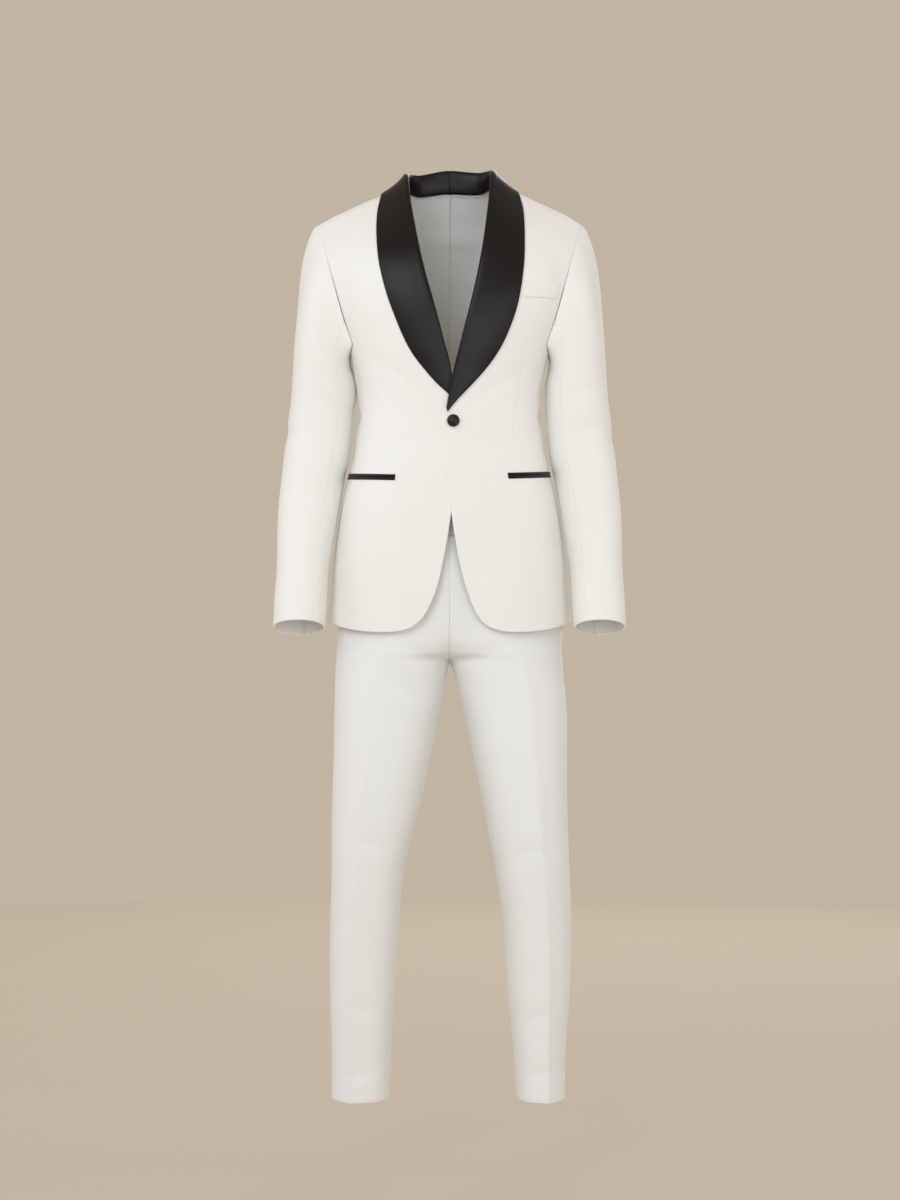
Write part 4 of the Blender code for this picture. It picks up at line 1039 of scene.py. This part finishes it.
# The front dart, from its point under the chest down, as height and how far to the side.
DART = ((-0.2223, 0.1280), (-0.3148, 0.1122), (-0.3820, 0.1034), (-0.4301, 0.1030))
DART_DEPTH, DART_SPREAD, DART_PLACE = 0.0008, 0.0034, 0.62
DART_GROOVE = (0.0, 0.22, 1.0, 0.22, 0.0)
DART_HOLD, DART_LIMITS = (0.10, 0.06), (0.25, 0.85)      # eased in below and above, and kept within
DART_FADE_OUT, DART_FADE_IN = 0.004, 0.02


def dart_columns(grid):
    """Moves a front's columns so that one runs down the dart, and gives its groove as relief."""
    heights, places = np.array(DART)[::-1, 0], np.array(DART)[::-1, 1]
    count = grid.shape[1]
    mid = int(count * DART_PLACE)
    spread = np.linspace(-1.0, 1.0, 5) * DART_SPREAD
    out = np.empty_like(grid)
    relief = np.zeros(grid.shape[:2])
    lower, upper = heights[0], heights[-1]
    share = np.linspace(0, 1, count)
    margin = DART_SPREAD * 1.5
    begin, finish = lower - DART_FADE_OUT, upper + DART_FADE_OUT
    for k, row in enumerate(grid):
        length = lengths_along(row)
        height = np.interp(DART_PLACE, share, row[:, 2])
        target = float(np.interp(height, heights, places))
        free = length[-1] * DART_PLACE
        reach = free
        if row[0, 0] < target < row[-1, 0]:
            reach = float(np.interp(target, row[:, 0], length))
        hold = float(ease(height, lower - DART_HOLD[0], lower)
                     * (1 - ease(height, upper, upper + DART_HOLD[1])))
        reach = free + (reach - free) * hold
        reach = min(max(reach, length[-1] * DART_LIMITS[0]), length[-1] * DART_LIMITS[1])
        marks = np.concatenate([np.linspace(0, reach - margin, mid - 2), reach + spread,
                                np.linspace(reach + margin, length[-1], count - mid - 3)])
        out[k] = along(marks, length, row)
        fade = float(ease(height, begin, lower + DART_FADE_IN)
                     * (1 - ease(height, upper - DART_FADE_IN, finish)))
        relief[k, mid - 2:mid + 3] = -DART_DEPTH * fade * np.array(DART_GROOVE)
    return out, relief


def jacket_side(side, ivory, black):
    """The pieces of one side of the jacket."""
    end = SIDE_NAMES[side]
    folds = LEFT_SLEEVE_FOLDS if side == LEFT else RIGHT_SLEEVE_FOLDS
    hem, cuff = (0, HEM_TURN, HEM_GAP), (1, CUFF_TURN, HEM_GAP)
    looks = (CLOTH_WALL, ivory, "jacket_wool", side, 1)
    seams = (("start", BODY_SEAM), ("end", BODY_SEAM), ("last", BODY_SEAM))
    closing = (("start", FRONT_EDGE_FOLD),) + seams[1:]
    sleeve_seams = (("start", SLEEVE_SEAM), ("end", SLEEVE_SEAM), ("first", SLEEVE_SEAM))
    grid, dart = dart_columns(front_grid(side))
    front = add_cloth("front_cloth_" + end, grid, *looks, closing, JACKET_FOLDS, dart, hem)
    add_cloth("side_cloth_" + end, side_grid(), *looks, seams, JACKET_FOLDS, None, hem)
    add_cloth("back_cloth_" + end, back_grid(), *looks, seams, JACKET_FOLDS, None, hem)
    top_grid = sleeve_grid(BACK_SLEEVE_SEAM - 360, FRONT_SLEEVE_SEAM, 64)
    add_cloth("top_sleeve_cloth_" + end, top_grid, *looks, sleeve_seams, folds, None, cuff)
    under_grid = sleeve_grid(FRONT_SLEEVE_SEAM, BACK_SLEEVE_SEAM, 44)
    add_cloth("under_sleeve_cloth_" + end, under_grid, *looks, sleeve_seams, folds, None, cuff)
    add_cloth("shawl_satin_" + end, shawl_grid(side), FACING_WALL, black, "black_satin", side, 1,
              (("end", ROUNDED_EDGE), ("last", FACING_SEAM)), (), None, None, "shawl_" + end)
    add_cloth("under_lapel_cloth_" + end, under_lapel_grid(side), FACING_WALL, ivory,
              "jacket_wool", side, 1)
    return front


# Where the right lapel's satin runs on flat under the left front: its outer end at each height.
FOOT_COLUMNS = ("z", "outer_x")
FOOT = ((-0.3340, -0.0030), (-0.3245, 0.0026), (-0.3033, 0.0120), (-0.2720, 0.0200))
FOOT_OUT, FOOT_WALL, FOOT_INSET, FOOT_ROWS, FOOT_ACROSS = 0.0014, 0.0007, 0.0003, 36, 10


def shawl_foot(black):
    """The foot of the right lapel's satin, flat on the right front under the left one."""
    rows = []
    for z in np.linspace(FOOT[-1][0], FOOT[0][0], FOOT_ROWS):
        inner = float(edge_at(RIGHT, z)) + FOOT_INSET
        across = np.linspace(inner, float(read(FOOT, FOOT_COLUMNS, "outer_x", z)), FOOT_ACROSS)
        paths = np.array([path_at_height(x, z) for x in across])
        rows.append(with_lap(RIGHT, paths, across, FOOT_OUT))
    return add_cloth("satin_foot_right", np.array(rows), FOOT_WALL, black, "black_satin", RIGHT,
                     node=None)


def trouser_side(side, wool_looks):
    """The pieces of one trouser leg and its half of the waistband."""
    end = SIDE_NAMES[side]
    seams = (("start", TROUSER_SEAM), ("end", TROUSER_SEAM), ("first", WAIST_SEAM))
    looks = (TROUSER_WALL, wool_looks, "trouser_wool", side)
    pieces = []
    for front in (True, False):
        label = "trouser_front" if front else "trouser_back"
        grid = trouser_grid(side, front)
        hem_line = -HEM_LINE_DEPTH * np.exp(-((grid[..., 2] - HEM_LINE) / HEM_LINE_WIDTH) ** 2)
        pieces.append(add_cloth(label + "_cloth_" + end, grid, *looks, 1, seams, TROUSER_FOLDS, hem_line,
                                (1, LEG_HEM_TURN, HEM_GAP)))
    add_cloth("waistband_cloth_" + end, waistband_grid(side), *looks, -1,
              (("first", ROUNDED_EDGE), ("last", WAIST_SEAM)))
    return pieces[0]


HEM_LINE, HEM_LINE_DEPTH, HEM_LINE_WIDTH = -1.408, 0.00035, 0.0028
JET_HEIGHT, JET_OUT, JET_BOW, JET_STEP = 0.0042, 0.0012, 0.0010, 0.0024
JET_ROWS, JET_ACROSS = 12, 60


def pockets(side, black):
    """The two satin jets of one hip pocket."""
    turns = np.linspace(*HIP_POCKET_TURNS[side], JET_ACROSS)
    middles = np.linspace(*HIP_POCKET_Z[side], JET_ACROSS)
    ends = (("start", FACING_SEAM), ("end", FACING_SEAM))
    for label, way in (("upper", 1), ("lower", -1)):
        grid = strip_grid(turns, middles + way * JET_STEP, JET_HEIGHT, JET_OUT, JET_ROWS, JET_BOW)
        node = "jet_" + label + "_" + SIDE_NAMES[side]
        add_cloth("jet_satin_" + label + "_" + SIDE_NAMES[side], grid, JET_WALL, black, "black_satin",
                  side, 1, ends, (), None, None, node)


WELT_OUT, WELT_BOW, WELT_ROWS, WELT_ACROSS = 0.0017, 0.0002, 40, 90
WELT_FOOT_STITCH = 0.0042 * 0.4
WELT_STITCH, WELT_STITCH_DEPTH, WELT_STITCH_WIDTH = 0.0042, 0.0004, 0.0006


def welt(ivory):
    """The breast pocket's welt, with a stitched groove along its foot and its outer end."""
    turns = np.linspace(*WELT_TURNS, WELT_ACROSS)
    middles = np.full(WELT_ACROSS, WELT_TOP - WELT_HEIGHT / 2)
    grid = strip_grid(turns, middles, WELT_HEIGHT, WELT_OUT, WELT_ROWS, WELT_BOW)
    from_end = arc(grid, 1)[:, -1:] - arc(grid, 1)
    from_foot = arc(grid, 0)
    groove = np.maximum(np.exp(-((from_end - WELT_STITCH) / WELT_STITCH_WIDTH) ** 2),
                        np.exp(-((from_foot - WELT_FOOT_STITCH) / WELT_STITCH_WIDTH) ** 2))
    add_cloth("breast_welt_cloth", grid, FACING_WALL, ivory, "jacket_wool", LEFT, 1,
              [(place, ROUNDED_EDGE) for place in ("start", "end", "first", "last")], (),
              -WELT_STITCH_DEPTH * groove, None, "breast_welt")


# The covered button from its back to its middle, as radius and height.
BUTTON_SIDES = 64
BUTTON_PROFILE = ((0.0028, 0.0001), (0.0028, 0.0016), (0.0070, 0.0019), (0.0088, 0.0022),
                  (0.0097, 0.0029), (0.0100, 0.0038), (0.0098, 0.0047), (0.0091, 0.0055),
                  (0.0079, 0.0060), (0.0068, 0.0060), (0.0056, 0.0064), (0.0036, 0.0069),
                  (0.0015, 0.0071))


def button(front, black):
    """The covered button, turned on an axis that stands on the left front."""
    origin, axis = on_cloth(front, *BUTTON_PLACE)
    across = unit(np.cross(axis, np.array([0.0, 0.0, 1.0])))
    upward = np.cross(across, axis)
    turn = np.linspace(0, 2 * np.pi, BUTTON_SIDES, endpoint=False)
    spokes = across * np.cos(turn)[:, None] + upward * np.sin(turn)[:, None]
    rings = [origin + axis * height + spokes * radius for radius, height in BUTTON_PROFILE]
    middles = [origin + axis * BUTTON_PROFILE[0][1], origin + axis * BUTTON_PROFILE[-1][1]]
    points = np.concatenate(rings + [middles])
    faces = []
    last_ring = (len(BUTTON_PROFILE) - 1) * BUTTON_SIDES
    for k in range(BUTTON_SIDES):
        n = (k + 1) % BUTTON_SIDES
        for a in range(0, last_ring, BUTTON_SIDES):
            faces.append((a + n, a + k, a + BUTTON_SIDES + k, a + BUTTON_SIDES + n))
        faces.append((len(points) - 2, k, n))
        faces.append((len(points) - 1, last_ring + n, last_ring + k))
    places = np.stack([(points - origin) @ across, (points - origin) @ upward], axis=-1)
    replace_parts(placed("button_satin", points, faces, places, black), "button")


def on_cloth(piece, x, z):
    """The outer face of a piece at a place seen from the front, and its outward direction."""
    tree = BVHTree.FromPolygons([v.co for v in piece.data.vertices],
                                [tuple(face.vertices) for face in piece.data.polygons])
    spot, normal, _, _ = tree.ray_cast(Vector((x, -1.0, z)), Vector((0.0, 1.0, 0.0)))
    spot, normal = np.array(spot), np.array(normal)
    normal = normal if normal[1] < 0 else -normal
    return spot + normal * piece.modifiers["wall"].thickness / 2, normal


# Stitched lines seen from the front, as across and up, then each thread's radius, the length of a
# stitch and how much of it shows, and marks along a stitch with its size there.
BUTTONHOLE_END = ((0.0150, -0.3669), (0.0176, -0.3672), (0.0203, -0.3671), (0.0211, -0.3676),
                  (0.0203, -0.3681), (0.0176, -0.3681), (0.0150, -0.3679))
FLY_STITCHES = ((0.0352, -0.7000), (0.0330, -0.7062), (0.0285, -0.7115), (0.0220, -0.7162),
                (0.0140, -0.7196), (0.0066, -0.7215))
BUTTONHOLE_THREAD, FLY_THREAD = (0.00032, 0.0009, 0.85), (0.00026, 0.0022, 0.72)
THREAD_SIDES = 6
STITCH_MARKS, STITCH_SIZES = np.array([0.0, 0.12, 0.5, 0.88, 1.0]), (0.35, 0.9, 1.0, 0.9, 0.35)


def thread(name, piece, line, radius, stitch, shown, material, slot):
    """A line of stitches sunk half way into a piece along a line seen from the front."""
    line = np.array(line)
    reach = lengths_along(line)
    count = max(1, int(reach[-1] / stitch))
    points, faces, places = [], [], []
    turn = np.linspace(0, 2 * np.pi, THREAD_SIDES, endpoint=False)
    for k in range(count):
        marks = (k + STITCH_MARKS * shown) * reach[-1] / count
        spots = [on_cloth(piece, x, z) for x, z in along(marks, reach, line)]
        base = len(points) * THREAD_SIDES
        for place, (spot, normal) in enumerate(spots):
            ahead = unit(spots[min(place + 1, 4)][0] - spots[max(place - 1, 0)][0])
            aside = np.cross(normal, ahead)
            size = radius * STITCH_SIZES[place]
            ring = spot + (aside * np.cos(turn)[:, None] + normal * np.sin(turn)[:, None]) * size
            points.append(ring)
            places.append(np.stack([turn * size, np.full(THREAD_SIDES, marks[place])], axis=-1))
        for ring in range(4):
            a = base + ring * THREAD_SIDES
            for s in range(THREAD_SIDES):
                n = (s + 1) % THREAD_SIDES
                faces.append((a + s, a + n, a + THREAD_SIDES + n, a + THREAD_SIDES + s))
        faces.append(tuple(base + s for s in range(THREAD_SIDES))[::-1])
        faces.append(tuple(base + 4 * THREAD_SIDES + s for s in range(THREAD_SIDES)))
    return placed(name, np.concatenate(points), faces, np.concatenate(places), material)


def build():
    """Makes every piece of the suit."""
    ivory = wool("jacket_wool_looks", JACKET_SHADE, JACKET_TONE, JACKET_PITCH, False, JACKET_NAP)
    cool = wool("trouser_wool_looks", TROUSER_SHADE, TROUSER_TONE, TROUSER_PITCH, True, TROUSER_NAP)
    black = satin()
    for side in (RIGHT, LEFT):
        front = jacket_side(side, ivory, black)
        leg = trouser_side(side, cool)
        pockets(side, black)
    welt(ivory)
    button(front, black)
    hole = thread("buttonhole_stitches", front, BUTTONHOLE_END, *BUTTONHOLE_THREAD, ivory,
                  "jacket_wool")
    fly = thread("fly_stitches", leg, FLY_STITCHES, *FLY_THREAD, cool, "trouser_wool")
    ({"shawl_satin_right": [shawl_foot(black)], "front_cloth_left": [hole],
             "trouser_front_cloth_left": [fly]})


build()

# ---- floor, light and camera

FLOOR_Z = -1.585
FLOOR_RADIUS = 4.5
BACKDROP = (0.535, 0.458, 0.366)
FLOOR_TONE, FLOOR_GLOW = (0.150, 0.128, 0.103), (0.388, 0.330, 0.261)
CAMERA_PLACE = (0.0008, -5.0, -0.656)
CAMERA_LENS = 91.46


def add_floor():
    """A plain pale round floor."""
    sides = 96
    turns = [2 * math.pi * k / sides for k in range(sides)]
    ring = [(FLOOR_RADIUS * math.cos(turn), FLOOR_RADIUS * math.sin(turn), FLOOR_Z) for turn in turns]
    mesh = bpy.data.meshes.new("floor")
    mesh.from_pydata(ring, [], [tuple(range(sides))])
    mesh.materials.append(plain("floor_paper", FLOOR_TONE, FLOOR_GLOW, 0.95))
    floor = bpy.data.objects.new("floor", mesh)
    bpy.context.scene.collection.objects.link(floor)


def add_light(name, place, target, width, height, watts, colour):
    light = bpy.data.lights.new(name, "AREA")
    light.shape, light.size, light.size_y = "RECTANGLE", width, height
    light.energy, light.color = watts, colour
    lamp = bpy.data.objects.new(name, light)
    bpy.context.scene.collection.objects.link(lamp)
    direction = np.array(target, float) - np.array(place, float)
    lamp.location = place
    lamp.rotation_mode = "QUATERNION"
    lamp.rotation_quaternion = Vector(direction).to_track_quat("-Z", "Y")


def add_world():
    world = bpy.data.worlds.new("studio")
    bpy.context.scene.world = world
    world.use_nodes = True
    background = world.node_tree.nodes["Background"]
    background.inputs["Color"].default_value = (*BACKDROP, 1.0)
    background.inputs["Strength"].default_value = 1.0


def add_camera():
    data = bpy.data.cameras.new("camera")
    data.sensor_fit, data.sensor_width, data.lens = "AUTO", 36.0, CAMERA_LENS
    camera = bpy.data.objects.new("camera", data)
    bpy.context.scene.collection.objects.link(camera)
    camera.location = CAMERA_PLACE
    camera.rotation_euler = (math.pi / 2, 0.0, 0.0)
    bpy.context.scene.camera = camera


# Name, place, what it points at, width, height, watts and colour.
LIGHTS = (
    ("key", (-1.7, -4.0, 1.6), (0.0, 0.0, -0.6), 2.4, 2.6, 79.0, (0.775, 0.908, 1.0)),
    ("fill", (1.6, -4.0, -0.4), (0.0, 0.0, -0.8), 2.4, 2.0, 34.0, (0.775, 0.908, 1.0)),
    ("low", (-0.1, -4.2, -0.75), (0.0, 0.0, -0.4), 2.0, 0.8, 14.0, (0.84, 0.92, 1.0)),
    ("side_left", (3.2, -0.2, 0.0), (0.0, 0.0, -0.7), 2.0, 2.4, 19.0, (0.76, 0.79, 1.0)),
    ("side_right", (-3.2, -0.2, 0.0), (0.0, 0.0, -0.7), 2.0, 2.4, 24.0, (0.78, 0.81, 1.0)),
    ("behind", (0.8, 4.0, 0.9), (0.0, 0.0, -0.6), 2.8, 2.8, 92.0, (0.82, 0.92, 1.0)),
)


def add_stage():
    add_floor()
    add_world()
    add_camera()
    for light in LIGHTS:
        add_light(*light)
    bpy.context.scene.view_settings.view_transform = "Standard"


add_stage()
